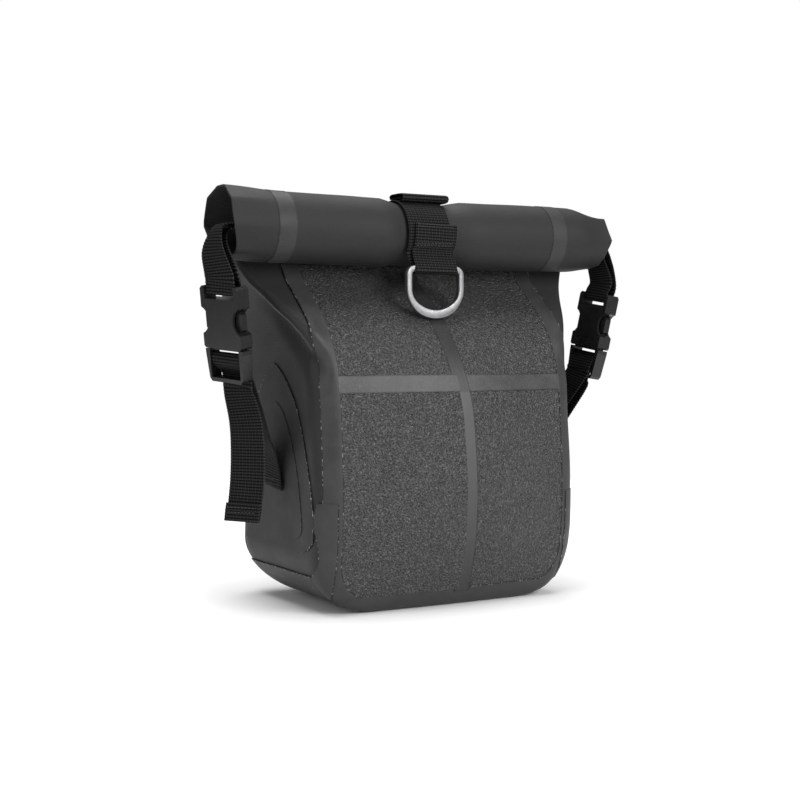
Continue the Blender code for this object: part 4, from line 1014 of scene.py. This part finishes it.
def wall_near(sign, y, z, lift):
    """The point on the side wall at a height and a depth."""
    low, high = 0.05, 0.32
    for _ in range(24):
        middle = (low + high) / 2
        if wall_base(z, sign * middle).y < y:
            low = middle
        else:
            high = middle
    return wall(z, sign * low, lift)


def make_release_strap():
    """The pull strap across the back, over both latch fingers and through under its grip."""
    strap_low, strap_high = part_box("release_strap")
    grip_low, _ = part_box("release_grip")
    y, reach = (strap_low.y + strap_high.y) / 2, strap_high.x
    low, high = strap_low.z + 0.8 * MM, grip_low.z - 1.9 * MM
    half = [(-reach, low), (-44 * MM, low), (-36 * MM, low), (-32.5 * MM, low), (-29 * MM, low + 2 * MM)]
    half += [(-23 * MM, high - 2.5 * MM), (-17 * MM, high + 0.3 * MM), (0, high + 0.5 * MM)]
    points = half + [(-x, z) for x, z in reversed(half[:-1])]
    stations = [(Vector((x, y, z)), Y_AXIS, 1) for x, z in points]
    webbing("release_strap_soft", stations, 5 * MM, body="release", cad=("release_strap",))


# ---- assembly ----
make_shell()
make_front()
make_sides()
make_roll()
make_centre_strap()
make_ring()
for name in ("left", "right"):
    make_end_loop(name)
    make_lower_strap(name)
make_release_strap()

NODE_LOOKS = {
    "black_plastic": (PLASTIC, 0.7), "stiffener_board": (BOARD, 0.0), "rail_alloy": (ALLOY, 0.3),
    "screw_steel": (STEEL, 0.2),
}  # and the width of their rounded edges, in mm
for part in frame["record"]["subparts"]:
    if part["material_slot"] in NODE_LOOKS:
        look, edge = NODE_LOOKS[part["material_slot"]]
        finish_cad(part["node"], look, edge * MM)


# ---- stage ----
def make_stage():
    bpy.ops.mesh.primitive_circle_add(vertices=96, radius=1.0, fill_type="NGON", location=(0, 0, -0.0006))
    floor = bpy.context.object
    floor.name = "floor"
    look = Finish("floor_white", (0.93, 0.93, 0.93), 0.9)
    look.colour_from(look.blend(look.noise(3, 2), (0.92, 0.92, 0.92), (0.94, 0.94, 0.94)))
    floor.data.materials.append(look.material)
    world = bpy.data.worlds.new("studio")
    world.use_nodes = True
    tree = world.node_tree
    soft, clean = tree.nodes["Background"], tree.nodes.new("ShaderNodeBackground")
    for node, strength in ((soft, 0.26), (clean, 1.0)):
        node.inputs["Color"].default_value = (1, 1, 1, 1)
        node.inputs["Strength"].default_value = strength
    seen, choose = tree.nodes.new("ShaderNodeLightPath"), tree.nodes.new("ShaderNodeMixShader")
    tree.links.new(seen.outputs["Is Camera Ray"], choose.inputs[0])
    tree.links.new(soft.outputs[0], choose.inputs[1])
    tree.links.new(clean.outputs[0], choose.inputs[2])
    tree.links.new(choose.outputs[0], tree.nodes["World Output"].inputs["Surface"])
    bpy.context.scene.world = world
    lights = (
        ("key", (0.6, -1.8, 0.95), 1.2, 36),
        ("top", (0.0, 0.45, 2.6), 2.6, 86),
        ("fill", (-1.8, -0.6, 0.7), 1.0, 8),
    )
    for name, place, size, power in lights:
        data = bpy.data.lights.new(name, "AREA")
        data.size = size
        data.energy = power
        lamp = bpy.data.objects.new(name, data)
        lamp.location = place
        lamp.rotation_euler = (Vector((0, 0, 0.15)) - Vector(place)).to_track_quat("-Z", "Y").to_euler()
        bpy.context.scene.collection.objects.link(lamp)


def make_camera():
    """At the bag's front left, a little above its middle."""
    azimuth, pitch, distance = math.radians(30), math.radians(2.3), 1.13
    sensor, focal_pixels, image_pixels = 36, 1420, 800
    level = Vector((math.sin(azimuth), math.cos(azimuth), 0))
    forward = level * math.cos(pitch) - Vector((0, 0, math.sin(pitch)))
    right = Vector((math.cos(azimuth), -math.sin(azimuth), 0))
    up = right.cross(forward)
    camera = bpy.data.objects.new("camera", bpy.data.cameras.new("camera"))
    camera.data.sensor_width = sensor
    camera.data.lens = sensor * focal_pixels / image_pixels
    aim = Vector((0, -0.028, 0.157)) - right * 0.016
    turn = Matrix((right, up, -forward)).transposed().to_4x4()
    turn.translation = aim - forward * distance
    camera.matrix_world = turn
    bpy.context.scene.collection.objects.link(camera)
    bpy.context.scene.camera = camera


make_stage()
make_camera()
bpy.context.scene.view_settings.view_transform = "Standard"
